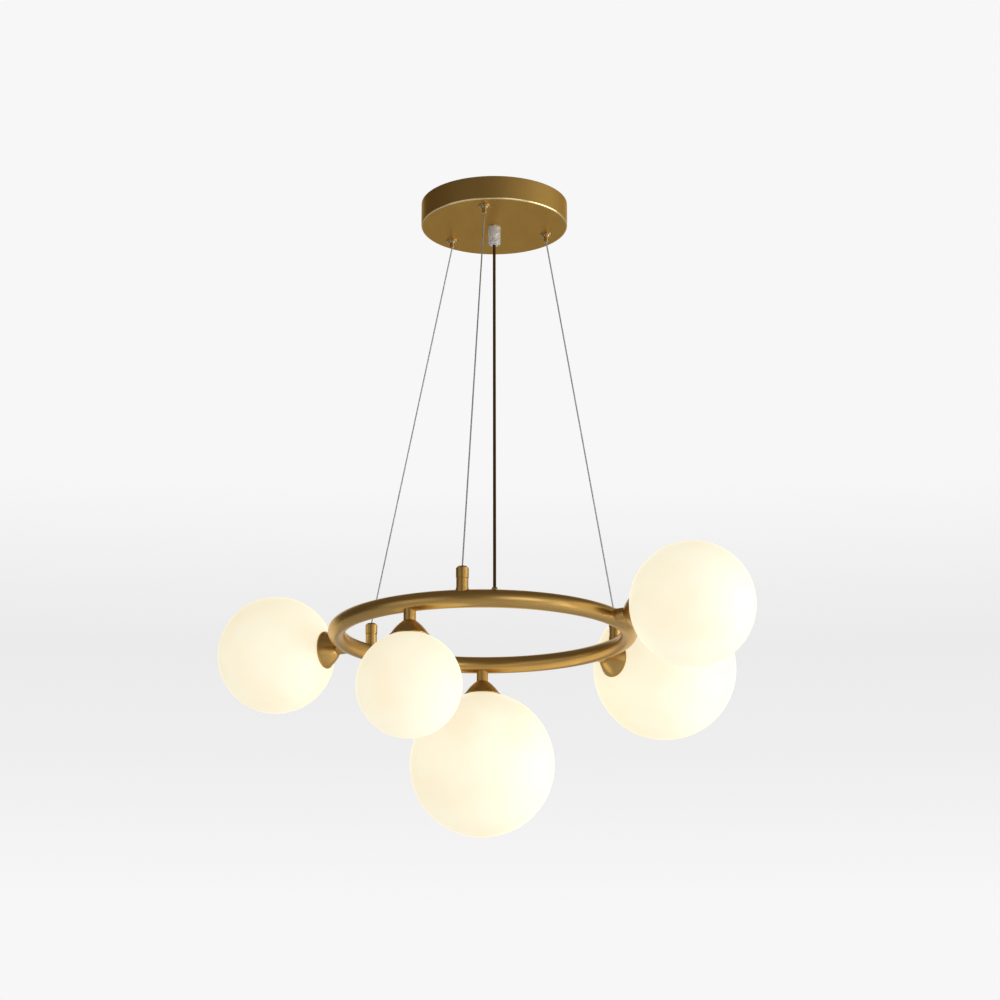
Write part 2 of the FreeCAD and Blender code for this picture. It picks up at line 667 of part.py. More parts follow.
def cable_end():
    """The stop swaged on the cable, held under the cap's top, with the cable's end above it."""
    under_top = CAP_TOP - CAP_END_WALL
    stop = rod(STOP_DIAMETER, under_top - STOP_LENGTH, under_top)
    return stop.fuse(rod(CABLE_DIAMETER, under_top, CAP_TOP))


def cord_bushing():
    bore = CORD_DIAMETER / 2 + RUNNING_CLEARANCE
    flare = turned(
        (0, -SADDLE_ROOM), (BUSHING_DIAMETER / 2, -SADDLE_ROOM), (BUSHING_DIAMETER / 2, BUSHING_FOOT_HEIGHT),
        (BUSHING_TOP_DIAMETER / 2, BUSHING_HEIGHT), (0, BUSHING_HEIGHT))
    base = CORD_ENTRY - UP * BUSHING_HEIGHT
    shank = rod(BUSHING_SHANK_DIAMETER, -2 * TUBE_WALL, STUD_OVERLAP)
    bushing = stand(flare, base).cut(ring_solid()).fuse(stand(shank, base))
    return bushing.cut(stand(rod(2 * bore, -TUBE_RADIUS, BUSHING_HEIGHT + PAST), base))


def ring_wiring():
    """The loom that lies in the tube, the cord's end, and a pair of leads up every arm."""
    loom_z = -(TUBE_BORE_RADIUS - LOOM_DIAMETER / 2 - RUNNING_CLEARANCE)
    wiring = Part.makeTorus(RING_RADIUS, LOOM_DIAMETER / 2, RING_CENTRE + UP * loom_z, UP)
    entry = CORD_ENTRY
    wiring = wiring.fuse(rod_between(CORD_DIAMETER, V(entry.x, entry.y, loom_z - RING_DROP), entry))
    lead_end = HOLDER_BASE + HOLDER_SOCKET_DEPTH
    for arm in ARMS:
        along, base = arm_direction(arm), arm_base(arm)
        sideways = along.cross(UP) if arm["points"] == "outwards" else V(1, 0, 0)
        for side in (1, -1):
            start = base + sideways * (side * ARM_LEAD_SPACING / 2)
            in_loom, end = start + UP * loom_z, start + along * lead_end
            if arm["points"] == "down":
                wiring = wiring.fuse(rod_between(ARM_LEAD_DIAMETER, in_loom, end))
            else:
                bend = start + along * TUBE_RADIUS
                wiring = wiring.fuse(tube_along(ARM_LEAD_DIAMETER, [in_loom, bend, end])[0])
    return wiring


# ---------------------------------------------------------------- arms
# their pieces are built along +Z, with z counted from the tube's centreline


def arm_neck(arm):
    sleeve = rod(NECK_DIAMETER, SADDLE_ROOM, NECK_END)
    sleeve = sleeve.cut(rod(NIPPLE_DIAMETER + 2 * THREAD_CLEARANCE, 0, NECK_END + PAST))
    return on_arm(sleeve, arm).cut(ring_solid())


def arm_nipple():
    """Hollow threaded rod from the tube's wall to the lamp holder."""
    start = TUBE_BORE_RADIUS + RUNNING_CLEARANCE
    return rod(NIPPLE_DIAMETER, start, NIPPLE_END).cut(rod(NIPPLE_BORE, start - PAST, NIPPLE_END + PAST))


def arm_nut():
    return nut(ARM_NUT_ACROSS_FLATS, NIPPLE_DIAMETER, CUP_FLOOR_TOP, CUP_FLOOR_TOP + ARM_NUT_THICKNESS)


def cup_flare(inset=0.0):
    """The flare's start, a point on its bulged side, and its end; inset moves them into the wall."""
    foot = (CUP_FOOT_DIAMETER / 2, NECK_END)
    end = (CUP_RIM_DIAMETER / 2 - LIP_STEP, CUP_RIM - LIP_HEIGHT)
    run = math.hypot(end[0] - foot[0], end[1] - foot[1])
    out = ((end[1] - foot[1]) / run, -(end[0] - foot[0]) / run)
    middle = ((foot[0] + end[0]) / 2 + out[0] * CUP_BULGE, (foot[1] + end[1]) / 2 + out[1] * CUP_BULGE)
    return [(point[0] - out[0] * inset, point[1] - out[1] * inset) for point in (foot, middle, end)]


def recess_radius():
    """The seal's recess in the cup, inside the wall of the flare at the land's height."""
    _, middle, end = cup_flare(CUP_WALL)
    slope = (end[0] - middle[0]) / (end[1] - middle[1])
    return end[0] - slope * (end[1] - LAND_TOP)


def globe_cup():
    foot, middle, end = cup_flare()
    inner_foot, inner_middle, _ = cup_flare(CUP_WALL)
    nut_room = ARM_NUT_ACROSS_FLATS / math.sqrt(3) + HOLE_CLEARANCE
    hole = NIPPLE_DIAMETER / 2 + THREAD_CLEARANCE
    slope = (inner_middle[1] - inner_foot[1]) / (inner_middle[0] - inner_foot[0])
    land_start = CUP_FLOOR_TOP + slope * (LAND_RADIUS - nut_room)
    rim = CUP_RIM_DIAMETER / 2
    recess = recess_radius()
    return turned(
        (hole, NECK_END), foot, (middle, end), (rim, end[1]), (rim, CUP_RIM),
        (LIP_EDGE_RADIUS, CUP_RIM), (recess, CUP_RIM - LIP_BEVEL), (recess, LAND_TOP),
        (LAND_RADIUS, LAND_TOP), (LAND_RADIUS, land_start), (nut_room, CUP_FLOOR_TOP), (hole, CUP_FLOOR_TOP))


def lamp_holder():
    """Ceramic two-pin holder screwed on the nipple's end."""
    body = rod(HOLDER_DIAMETER, HOLDER_BASE, HOLDER_FACE)
    body = body.makeChamfer(HOLDER_CHAMFER, [body.Edges[0]])
    thread = NIPPLE_DIAMETER + 2 * THREAD_CLEARANCE
    body = body.cut(rod(thread, HOLDER_BASE - PAST, HOLDER_BASE + HOLDER_SOCKET_DEPTH))
    pin_hole = PIN_DIAMETER + 2 * PIN_CLEARANCE
    bottom = HOLDER_FACE - PIN_LENGTH - PIN_CLEARANCE
    for side in (1, -1):
        body = body.cut(rod(pin_hole, bottom, HOLDER_FACE + PAST, side * PIN_SPACING / 2))
    return body


def led_bulb():
    """Two-pin capsule lamp: pins, base and rounded capsule."""
    base_top = HOLDER_FACE + BULB_BASE_LENGTH
    tip = HOLDER_FACE + BULB_LENGTH
    radius = BULB_DIAMETER / 2
    on_arc = radius * math.sqrt(0.5)
    lamp = turned(
        (0, HOLDER_FACE), (BULB_BASE_DIAMETER / 2, HOLDER_FACE), (BULB_BASE_DIAMETER / 2, base_top),
        (radius, base_top), (radius, tip - radius), ((on_arc, tip - radius + on_arc), (0, tip)))
    for side in (1, -1):
        lamp = lamp.fuse(rod(PIN_DIAMETER, HOLDER_FACE - PIN_LENGTH, HOLDER_FACE, side * PIN_SPACING / 2))
    return lamp


def globe_centre(radius):
    """The globe's centre on its arm, so that the glass just clears the cup's rim."""
    return CUP_RIM + math.sqrt((radius + GLASS_CLEARANCE) ** 2 - LIP_EDGE_RADIUS ** 2)


def glass_globe(arm):
    radius = arm["globe"] / 2
    centre = V(0, 0, globe_centre(radius))
    ball = Part.makeSphere(radius, centre).fuse(rod(GLASS_NECK_DIAMETER, GLASS_NECK_END, centre.z))
    hollow = Part.makeSphere(radius - GLASS_WALL, centre)
    hollow = hollow.fuse(rod(GLASS_NECK_DIAMETER - 2 * GLASS_WALL, GLASS_NECK_END - PAST, centre.z))
    return ball.cut(hollow)


def globe_seal(arm):
    """Silicone washer in the cup's recess, round the glass neck and just under the glass."""
    radius = arm["globe"] / 2
    inner = LAND_RADIUS
    touch = globe_centre(radius) - math.sqrt(radius ** 2 - inner ** 2)
    outer = recess_radius() - GLASS_CLEARANCE
    top = touch - GLASS_CLEARANCE
    return rod(2 * outer, LAND_TOP, top).cut(rod(2 * inner, LAND_TOP - PAST, top + PAST))


# ---------------------------------------------------------------- nodes


def nodes():
    """Every node's name and shape."""
    grippers = gripper_spots()
    parts = {
        "ceiling_bracket": ceiling_bracket(),
        "side_screws": side_screws(),
        "canopy_cover": canopy_cover(),
        "gripper_nuts": group([stand(gripper_nut(), spot) for spot in grippers]),
        "cable_tails": group([stand(cable_tail(), spot) for spot in grippers]),
        "cord_grip": cord_grip(),
        "cord_grip_screw": cord_grip_screw(),
        "cord_grip_nut": cord_grip_nut(),
        "terminal_block": terminal_block(),
        "terminal_screws": terminal_screws(),
        "earth_screw": earth_screw(),
        "canopy_leads": canopy_leads(),
        "power_cord": power_cord(),
        "ring_tube": ring_tube(),
        "cord_bushing": cord_bushing(),
        "ring_wiring": ring_wiring(),
        "cable_posts": cable_posts(),
        "post_caps": group([stand(post_cap(), spot) for spot in post_spots()]),
        "cable_ends": group([stand(cable_end(), spot) for spot in post_spots()]),
        "arm_necks": group([arm_neck(arm) for arm in ARMS]),
        "arm_nipples": group([on_arm(arm_nipple(), arm) for arm in ARMS]),
        "arm_nuts": group([on_arm(arm_nut(), arm) for arm in ARMS]),
    }
    for number, (gripper, post) in enumerate(zip(grippers, post_spots()), start=1):
        parts[f"cable_gripper_{number}"] = stand(cable_gripper(), gripper)
        parts[f"gripper_plunger_{number}"] = stand(gripper_plunger(), gripper)
        spring = gripper_spring()
        spring.translate(gripper)
        parts[f"gripper_spring_{number}"] = spring
        parts[f"suspension_cable_{number}"] = suspension_cable(gripper, post)
    for number, arm in enumerate(ARMS, start=1):
        parts[f"globe_cup_{number}"] = on_arm(globe_cup(), arm)
        parts[f"lamp_holder_{number}"] = on_arm(lamp_holder(), arm)
        parts[f"led_bulb_{number}"] = on_arm(led_bulb(), arm)
        parts[f"glass_globe_{number}"] = on_arm(glass_globe(arm), arm)
        parts[f"globe_seal_{number}"] = on_arm(globe_seal(arm), arm)
    return parts


os.makedirs("parts", exist_ok=True)
for name, shape in nodes().items():
    solids = shape.Solids
    if not solids or not shape.isValid():
        raise ValueError(f"{name} is not a valid solid")
    shape.exportStep(f"parts/{name}.step")
    print(f"{name}: {len(solids)} solid(s), {shape.Volume / 1000:.2f} cm3")
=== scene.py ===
"""Orb chandelier: the finish of every piece, its cables and cord, and the light it is seen in.

Metres, in the lamp's own frame: the origin is on the ceiling, +Z is up and the viewer stands at -Y.
Outlines are written in millimetres, as on a turner's drawing, and MM brings them to metres.
"""
import json
import math

import bpy
from mathutils import Matrix, Vector


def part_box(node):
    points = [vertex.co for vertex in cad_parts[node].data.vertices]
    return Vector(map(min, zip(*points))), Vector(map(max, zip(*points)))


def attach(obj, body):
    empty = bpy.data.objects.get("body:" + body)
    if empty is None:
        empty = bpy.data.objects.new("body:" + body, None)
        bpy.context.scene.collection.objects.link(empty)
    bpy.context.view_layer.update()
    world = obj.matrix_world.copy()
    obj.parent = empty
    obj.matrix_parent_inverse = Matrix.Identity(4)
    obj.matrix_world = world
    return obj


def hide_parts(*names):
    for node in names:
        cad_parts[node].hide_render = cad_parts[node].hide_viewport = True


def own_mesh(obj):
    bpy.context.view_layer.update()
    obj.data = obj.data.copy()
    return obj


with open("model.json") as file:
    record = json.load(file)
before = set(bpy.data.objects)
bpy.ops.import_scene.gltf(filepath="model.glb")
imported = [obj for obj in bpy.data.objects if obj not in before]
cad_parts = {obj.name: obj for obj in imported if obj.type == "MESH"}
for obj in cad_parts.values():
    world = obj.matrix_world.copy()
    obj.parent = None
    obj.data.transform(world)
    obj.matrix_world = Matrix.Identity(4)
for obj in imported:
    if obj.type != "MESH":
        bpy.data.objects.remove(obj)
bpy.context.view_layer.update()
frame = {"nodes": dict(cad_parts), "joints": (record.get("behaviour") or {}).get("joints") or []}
nodes = frame["nodes"]
joints = {joint["name"]: joint for joint in frame["joints"]}
scene = bpy.context.scene
scene.view_settings.view_transform = "Standard"
MM = 0.001

# ---------------------------------------------------------------- the viewer and the studio
# The lamp hangs in a pale studio and is seen from below, looking up by 16 degrees. The light is soft:
# a wide lamp on the right, weaker ones on the left and at the viewer's side, and the grey of the room.

camera = bpy.data.objects.new("camera", bpy.data.cameras.new("camera"))
scene.collection.objects.link(camera)
camera.data.sensor_width = 36.0
camera.data.lens = 89.33
camera.location = (-0.00284, -2.4042, -1.02168)
LOOKS_UP, LOOKS_LEFT = 16.25, -0.21
camera.rotation_euler = (math.radians(90 + LOOKS_UP), 0, math.radians(LOOKS_LEFT))
scene.camera = camera


def add(tree, kind, inputs=None, **settings):
    """A new node in a tree: its settings, and its inputs set or linked by name or number."""
    node = tree.nodes.new(kind)
    for setting, value in settings.items():
        setattr(node, setting, value)
    for key, value in (inputs or {}).items():
        if isinstance(value, bpy.types.NodeSocket):
            tree.links.new(value, node.inputs[key])
        else:
            node.inputs[key].default_value = value
    return node


def maths(tree, operation, *values):
    """The result of one sum on numbers or sockets."""
    return add(tree, "ShaderNodeMath", dict(enumerate(values)), operation=operation).outputs[0]


def ramp(tree, value, stops):
    """Colours along a value, as (place, colour) pairs."""
    node = add(tree, "ShaderNodeValToRGB", {"Fac": value})
    elements = node.color_ramp.elements
    while len(elements) < len(stops):
        elements.new(1.0)
    for element, (place, colour) in zip(elements, stops):
        element.position = place
        element.color = (*colour, 1.0)
    return node.outputs["Color"]


WALL = (0.93, 0.93, 0.93)
ROOM_LIGHT = (0.36, 0.36, 0.37)
LINE_OF_SIGHT = (0.0, 0.96, 0.28)
# what brass shows of the room, from the viewer's left over the middle to the viewer's right
ROOM_IN_METAL = [(0.0, (0.10, 0.085, 0.07)), (0.5, (0.20, 0.18, 0.14)), (1.0, (0.50, 0.48, 0.38))]
ROOM_OVERHEAD = (0.15, 0.13, 0.11)

world = bpy.data.worlds.new("studio")
scene.world = world
world.use_nodes = True
tree = world.node_tree
tree.nodes.clear()
direction = add(tree, "ShaderNodeTexCoord").outputs["Generated"]
sides = add(tree, "ShaderNodeSeparateXYZ", {"Vector": direction}).outputs
# the wall is a shade darker in a soft band behind the ring and the globes
wall = ramp(tree, sides["Z"], [
    (0.12, WALL), (0.182, (0.855, 0.855, 0.855)), (0.222, (0.831, 0.831, 0.831)),
    (0.241, (0.855, 0.855, 0.855)), (0.287, WALL)])
room = ramp(tree, maths(tree, "MULTIPLY_ADD", sides["X"], 0.5, 0.5), ROOM_IN_METAL)
overhead = add(tree, "ShaderNodeMapRange", {
    "Value": sides["Z"], "From Min": 0.35, "From Max": 0.85}, interpolation_type="SMOOTHSTEP").outputs[0]
room = add(tree, "ShaderNodeMix", {0: overhead, 6: room, 7: (*ROOM_OVERHEAD, 1)}, data_type="RGBA").outputs[2]
ahead = add(tree, "ShaderNodeVectorMath", {0: direction, 1: LINE_OF_SIGHT}, operation="DOT_PRODUCT").outputs["Value"]
behind_lamp = add(tree, "ShaderNodeMapRange", {
    "Value": ahead, "From Min": 0.82, "From Max": 0.94}, interpolation_type="SMOOTHSTEP").outputs[0]
path = add(tree, "ShaderNodeLightPath").outputs
reflected = add(tree, "ShaderNodeMix", {0: behind_lamp, 6: room, 7: (*WALL, 1)}, data_type="RGBA")
mirrored = maths(tree, "MAXIMUM", path["Is Glossy Ray"], path["Is Transmission Ray"])
shown = add(tree, "ShaderNodeMix", {0: mirrored, 6: (*ROOM_LIGHT, 1), 7: reflected.outputs[2]}, data_type="RGBA")
shown = add(tree, "ShaderNodeMix", {0: path["Is Camera Ray"], 6: shown.outputs[2], 7: wall}, data_type="RGBA")
background = add(tree, "ShaderNodeBackground", {"Color": shown.outputs[2]})
add(tree, "ShaderNodeOutputWorld", {"Surface": background.outputs[0]})

FLOOR_DROP = 1.75
FLOOR_REACH = 6
FLOOR_GLOW = 0.42
FLOOR_GLOW_IN_METAL = 0.04
floor_mesh = bpy.data.meshes.new("floor")
corners = [(-FLOOR_REACH, -FLOOR_REACH), (FLOOR_REACH, -FLOOR_REACH),
           (FLOOR_REACH, FLOOR_REACH), (-FLOOR_REACH, FLOOR_REACH)]
floor_mesh.from_pydata([(x, y, -FLOOR_DROP) for x, y in corners], [], [(0, 1, 2, 3)])
floor = bpy.data.objects.new("floor", floor_mesh)
scene.collection.objects.link(floor)
floor_paint = bpy.data.materials.new("floor_paint")
floor_paint.use_nodes = True
# the floor shows paler than it lights, and its shadow stays
tree = floor_paint.node_tree
shader = tree.nodes["Principled BSDF"]
shader.inputs["Base Color"].default_value = (0.86, 0.86, 0.85, 1)
shader.inputs["Roughness"].default_value = 0.9
shader.inputs["Emission Color"].default_value = (1, 1, 1, 1)
path = add(tree, "ShaderNodeLightPath").outputs
seen = maths(tree, "MAXIMUM", path["Is Camera Ray"], path["Is Transmission Ray"])
in_metal = maths(tree, "MULTIPLY", path["Is Glossy Ray"], FLOOR_GLOW_IN_METAL)
tree.links.new(maths(tree, "MULTIPLY_ADD", seen, FLOOR_GLOW, in_metal), shader.inputs["Emission Strength"])
floor.data.materials.append(floor_paint)

AIM = Vector((0, 0, -0.40))
STUDIO_LAMPS = (
    # name, place, width, height, watts, colour
    ("lamp_right", (2.6, -0.3, -0.75), 2.4, 2.0, 42, (1.0, 0.98, 0.95)),
    ("lamp_left", (-1.95, -1.65, -0.45), 2.2, 1.4, 5, (1.0, 0.98, 0.95)),
    ("lamp_front", (0.9, -1.7, -0.54), 1.0, 0.8, 4, (1.0, 1.0, 1.0)),
)
for name, place, width, height, watts, colour in STUDIO_LAMPS:
    lamp = bpy.data.objects.new(name, bpy.data.lights.new(name, "AREA"))
    scene.collection.objects.link(lamp)
    lamp.data.shape = "RECTANGLE"
    lamp.data.size = width
    lamp.data.size_y = height
    lamp.data.energy = watts
    lamp.data.color = colour
    lamp.location = place
    lamp.rotation_euler = (AIM - Vector(place)).to_track_quat("-Z", "Y").to_euler()
    lamp.visible_camera = False

# ---------------------------------------------------------------- canopy cover
# The cover is a shallow dish of 1.2 mm brass sheet, 152 mm across. It is brushed in one direction,
# lacquered, and drilled for the cord grip, three cable grippers and two side screws.


def shape_tree(name, sizes):
    """A geometry tree with named inputs. Returns it with its input's sockets and a function to end it."""
    tree = bpy.data.node_groups.new(name, "GeometryNodeTree")
    face = tree.interface
    face.new_socket("Geometry", in_out="INPUT", socket_type="NodeSocketGeometry")
    for size, kind in sizes.items():
        face.new_socket(size, in_out="INPUT", socket_type=f"NodeSocket{kind}")
    face.new_socket("Material", in_out="INPUT", socket_type="NodeSocketMaterial")
    face.new_socket("Geometry", in_out="OUTPUT", socket_type="NodeSocketGeometry")
    given = tree.nodes.new("NodeGroupInput").outputs

    def end(geometry):
        real = add(tree, "GeometryNodeRealizeInstances", {"Geometry": geometry})
        done = add(tree, "GeometryNodeSetMaterial", {"Geometry": real.outputs[0], "Material": given["Material"]})
        add(tree, "NodeGroupOutput", {0: done.outputs[0]})

    return tree, given, end


SHARP_EDGE = 0.7


def smooth_but_for_edges(tree, geometry):
    """Smooth shading, broken at the edges that turn by more than a sharp edge does."""
    turn = add(tree, "GeometryNodeInputMeshEdgeAngle").outputs["Unsigned Angle"]
    soft = add(tree, "FunctionNodeCompare", {0: turn, 1: SHARP_EDGE}, operation="LESS_THAN").outputs[0]
    faces = add(tree, "GeometryNodeSetShadeSmooth", {"Geometry": geometry, "Shade Smooth": True})
    return add(tree, "GeometryNodeSetShadeSmooth", {
        "Geometry": faces.outputs[0], "Shade Smooth": soft}, domain="EDGE").outputs[0]


def shaped(name, start, tree, sizes):
    """The plain mesh that a tree makes of a starting mesh or curve, as a new object."""
    rough = bpy.data.objects.new(name + "_rough", start)
    scene.collection.objects.link(rough)
    modifier = rough.modifiers.new(tree.name, "NODES")
    modifier.node_group = tree
    for item in tree.interface.items_tree:
        if item.in_out == "INPUT" and item.name in sizes:
            modifier[item.identifier] = sizes[item.name]
    bpy.context.view_layer.update()
    depsgraph = bpy.context.evaluated_depsgraph_get()
    mesh = bpy.data.meshes.new_from_object(rough.evaluated_get(depsgraph), depsgraph=depsgraph)
    bpy.data.objects.remove(rough)
    mesh.name = name
    piece = bpy.data.objects.new(name, mesh)
    scene.collection.objects.link(piece)
    return piece


def turned_piece_tree():
    """Turns an outline about Z: a grid's columns are copies of it, each at its own angle."""
    tree, given, end = shape_tree("turned_piece", {"Sides": "Int"})
    count = add(tree, "GeometryNodeAttributeDomainSize", {"Geometry": given["Geometry"]}).outputs["Point Count"]
    columns = maths(tree, "ADD", given["Sides"], 1)
    grid = add(tree, "GeometryNodeMeshGrid", {"Vertices X": columns, "Vertices Y": count})
    index = add(tree, "GeometryNodeInputIndex").outputs[0]
    step = maths(tree, "MODULO", index, count)
    column = maths(tree, "FLOOR", maths(tree, "DIVIDE", index, count))
    share = maths(tree, "DIVIDE", column, given["Sides"])
    here = add(tree, "GeometryNodeInputPosition").outputs[0]
    point = add(tree, "GeometryNodeSampleIndex", {
        "Geometry": given["Geometry"], "Value": here, "Index": step}, data_type="FLOAT_VECTOR")
    run = add(tree, "GeometryNodeInputNamedAttribute", {"Name": "run"}, data_type="FLOAT").outputs[0]
    along = add(tree, "GeometryNodeSampleIndex", {"Geometry": given["Geometry"], "Index": step}, data_type="FLOAT")
    tree.links.new(run, along.inputs["Value"])
    spun = add(tree, "ShaderNodeVectorRotate", {
        "Vector": point.outputs["Value"], "Angle": maths(tree, "MULTIPLY", share, 2 * math.pi)},
        rotation_type="Z_AXIS")
    skin = add(tree, "GeometryNodeSetPosition", {"Geometry": grid.outputs["Mesh"], "Position": spun.outputs[0]})
    spot = add(tree, "ShaderNodeCombineXYZ", {"X": share, "Y": along.outputs["Value"]})
    mapped = add(tree, "GeometryNodeStoreNamedAttribute", {
        "Geometry": skin.outputs[0], "Name": "UVMap", "Value": spot.outputs[0]},
        data_type="FLOAT2", domain="CORNER")
    closed = add(tree, "GeometryNodeMergeByDistance", {"Geometry": mapped.outputs[0], "Distance": 1e-6})
    end(smooth_but_for_edges(tree, closed.outputs[0]))
    return tree


turned_piece = turned_piece_tree()


def softened(outline, closed):
    """An outline with its rounded corners worked out: a corner is (radius, height, rounding)."""
    points = []
    for i, corner in enumerate(outline):
        here = Vector(corner[:2])
        inner = closed or 0 < i < len(outline) - 1
        if len(corner) == 2 or not inner:
            points.append(here)
            continue
        back = Vector(outline[i - 1][:2]) - here
        ahead = Vector(outline[(i + 1) % len(outline)][:2]) - here
        half = back.angle(ahead) / 2
        reach = min(corner[2] / math.tan(half), 0.4 * back.length, 0.4 * ahead.length)
        start, end = here + back.normalized() * reach, here + ahead.normalized() * reach
        points.append(start + back.normalized() * reach * 0.2)
        # a quadratic arc stands at most a tenth of a millimetre outside the round one at these sizes
        for t in (0, 0.25, 0.5, 0.75, 1):
            points.append(start * (1 - t) ** 2 + here * 2 * t * (1 - t) + end * t ** 2)
        points.append(end + ahead.normalized() * reach * 0.2)
    return points


def turned(name, outline, sides=96):
    """A turned piece about Z from its outline of (radius, height) in mm, run anticlockwise."""
    closed = outline[0][0] > 0 or outline[-1][0] > 0
    points = softened(outline, closed)
    if closed:
        points.append(points[0])
    mesh = bpy.data.meshes.new(name + "_outline")
    mesh.from_pydata([(p[0] * MM, 0, p[1] * MM) for p in points], [(i, i + 1) for i in range(len(points) - 1)], [])
    run = mesh.attributes.new("run", "FLOAT", "POINT")
    length = 0.0
    for i, point in enumerate(points):
        length += (point - points[i - 1]).length if i else 0.0
        run.data[i].value = length
    return shaped(name, mesh, turned_piece, {"Sides": sides})


def finished(piece, body, replaced=()):
    """Hides the CAD nodes that a piece stands for and hangs it on the body it moves with."""
    if replaced:
        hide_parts(*replaced)
    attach(piece, body)


def finish(name, colour, roughness, metallic=0.0, **sockets):
    """A material with its plain values on the shader. Returns it with its tree and shader."""
    material = bpy.data.materials.new(name)
    material.use_nodes = True
    shader = material.node_tree.nodes["Principled BSDF"]
    shader.inputs["Base Color"].default_value = (*colour, 1)
    shader.inputs["Roughness"].default_value = roughness
    shader.inputs["Metallic"].default_value = metallic
    for socket, value in sockets.items():
        shader.inputs[socket.replace("_", " ")].default_value = value
    return material, material.node_tree, shader


def surface_marks_group():
    """Fine marks on a surface: a pattern vector in, a colour, a roughness and a height out."""
    tree = bpy.data.node_groups.new("surface_marks", "ShaderNodeTree")
    face = tree.interface
    for name, kind in (("Pattern", "Vector"), ("Cloud", "Vector"), ("Colour", "Color"), ("Worn Colour", "Color"),
                       ("Roughness", "Float"), ("Variation", "Float")):
        face.new_socket(name, in_out="INPUT", socket_type=f"NodeSocket{kind}")
    for name, kind in (("Colour", "Color"), ("Roughness", "Float"), ("Height", "Float")):
        face.new_socket(name, in_out="OUTPUT", socket_type=f"NodeSocket{kind}")
    given = tree.nodes.new("NodeGroupInput").outputs
    fine = add(tree, "ShaderNodeTexNoise", {"Vector": given["Pattern"], "Scale": 1.0, "Detail": 3.0,
                                            "Roughness": 0.6}).outputs["Fac"]
    cloud = add(tree, "ShaderNodeTexNoise", {"Vector": given["Cloud"], "Scale": 1.0, "Detail": 2.0}).outputs["Fac"]
    both = maths(tree, "ADD", maths(tree, "MULTIPLY", fine, 0.6), maths(tree, "MULTIPLY", cloud, 0.4))
    share = add(tree, "ShaderNodeMapRange", {"Value": both, "From Min": 0.35, "From Max": 0.65}).outputs[0]
    colour = add(tree, "ShaderNodeMix", {0: share, 6: given["Colour"], 7: given["Worn Colour"]}, data_type="RGBA")
    centred = maths(tree, "SUBTRACT", both, 0.5)
    rough = maths(tree, "MULTIPLY_ADD", centred, given["Variation"], given["Roughness"])
    add(tree, "NodeGroupOutput", {0: colour.outputs[2], 1: rough, 2: fine})
    return tree


surface_marks = surface_marks_group()


def marked(name, colours, roughness, variation, depth, metallic, pattern, **sockets):
    """A material with fine marks. pattern takes the tree and gives the marks' and the cloud's vectors."""
    material, tree, shader = finish(name, colours[0], roughness, metallic, **sockets)
    marks, cloud = pattern(tree)
    group = add(tree, "ShaderNodeGroup", node_tree=surface_marks)
    for key, value in {"Pattern": marks, "Cloud": cloud}.items():
        tree.links.new(value, group.inputs[key])
    group.inputs["Colour"].default_value = (*colours[0], 1)
    group.inputs["Worn Colour"].default_value = (*colours[1], 1)
    group.inputs["Roughness"].default_value = roughness
    group.inputs["Variation"].default_value = variation
    bump = add(tree, "ShaderNodeBump", {"Height": group.outputs["Height"], "Strength": 1.0, "Distance": depth})
    tree.links.new(group.outputs["Colour"], shader.inputs["Base Color"])
    tree.links.new(group.outputs["Roughness"], shader.inputs["Roughness"])
    tree.links.new(bump.outputs[0], shader.inputs["Normal"])
    return material


def straight_grain(tree, across=6000.0, along=60.0):
    """Brushing along Y: close together across it and long along it."""
    here = add(tree, "ShaderNodeTexCoord").outputs["Object"]
    lines = add(tree, "ShaderNodeVectorMath", {0: here, 1: (across, along, along)}, operation="MULTIPLY")
    cloud = add(tree, "ShaderNodeVectorMath", {0: here, 1: (50, 20, 20)}, operation="MULTIPLY")
    return lines.outputs[0], cloud.outputs[0]


SATIN_BRASS = ((0.62, 0.39, 0.125), (0.54, 0.33, 0.10))
EDGE_OF_BRASS = (0.85, 0.66, 0.40, 1.0)
brushed_brass = marked("brushed_brass", SATIN_BRASS, 0.38, 0.25, 0.00001, 1.0, straight_grain,
                       Specular_Tint=EDGE_OF_BRASS)


def drilled(piece, cutters):
    """A piece with the cutters' shapes taken out of it. The cutters are used up."""
    for cutter in cutters:
        cut = piece.modifiers.new("cut", "BOOLEAN")
        cut.object = cutter
        cut.solver = "EXACT"
    bpy.context.view_layer.update()
    depsgraph = bpy.context.evaluated_depsgraph_get()
    mesh = bpy.data.meshes.new_from_object(piece.evaluated_get(depsgraph), depsgraph=depsgraph)
    mesh.set_sharp_from_angle(angle=SHARP_EDGE)
    piece.modifiers.clear()
    piece.data = mesh
    for cutter in cutters:
        bpy.data.objects.remove(cutter)
    return piece


def drill_bit(diameter, start, end):
    """A round cutter between two points in mm."""
    length = (Vector(end) - Vector(start)).length
    bit = turned("drill_bit", [(0, 0), (diameter / 2, 0), (diameter / 2, length), (0, length)], 48)
    aim = (Vector(end) - Vector(start)).to_track_quat("Z", "Y").to_matrix().to_4x4()
    bit.data.transform(Matrix.Translation(Vector(start) * MM) @ aim)
    return bit


COVER_DIAMETER = 152.0
COVER_HEIGHT = 25.0
COVER_WALL = 1.2
SIDE_SCREW_DEPTH = 8.0
gripper_spots = []
for number in (1, 2, 3):
    low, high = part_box(f"cable_gripper_{number}")
    gripper_spots.append(Vector(((low.x + high.x) / 2, (low.y + high.y) / 2, 0)))

EDGE_ROUNDING = 1.5
# a paler brass painted on the cover's rounded edge as a painted highlight
EDGE_PAINTED_HIGHLIGHT = (0.93, 0.75, 0.43, 1)
EDGE_ROUGHNESS = 0.24


def from_axis(tree, x, y):
    """How far a place is from the upright axis."""
    return maths(tree, "SQRT", maths(tree, "ADD", maths(tree, "MULTIPLY", x, x), maths(tree, "MULTIPLY", y, y)))
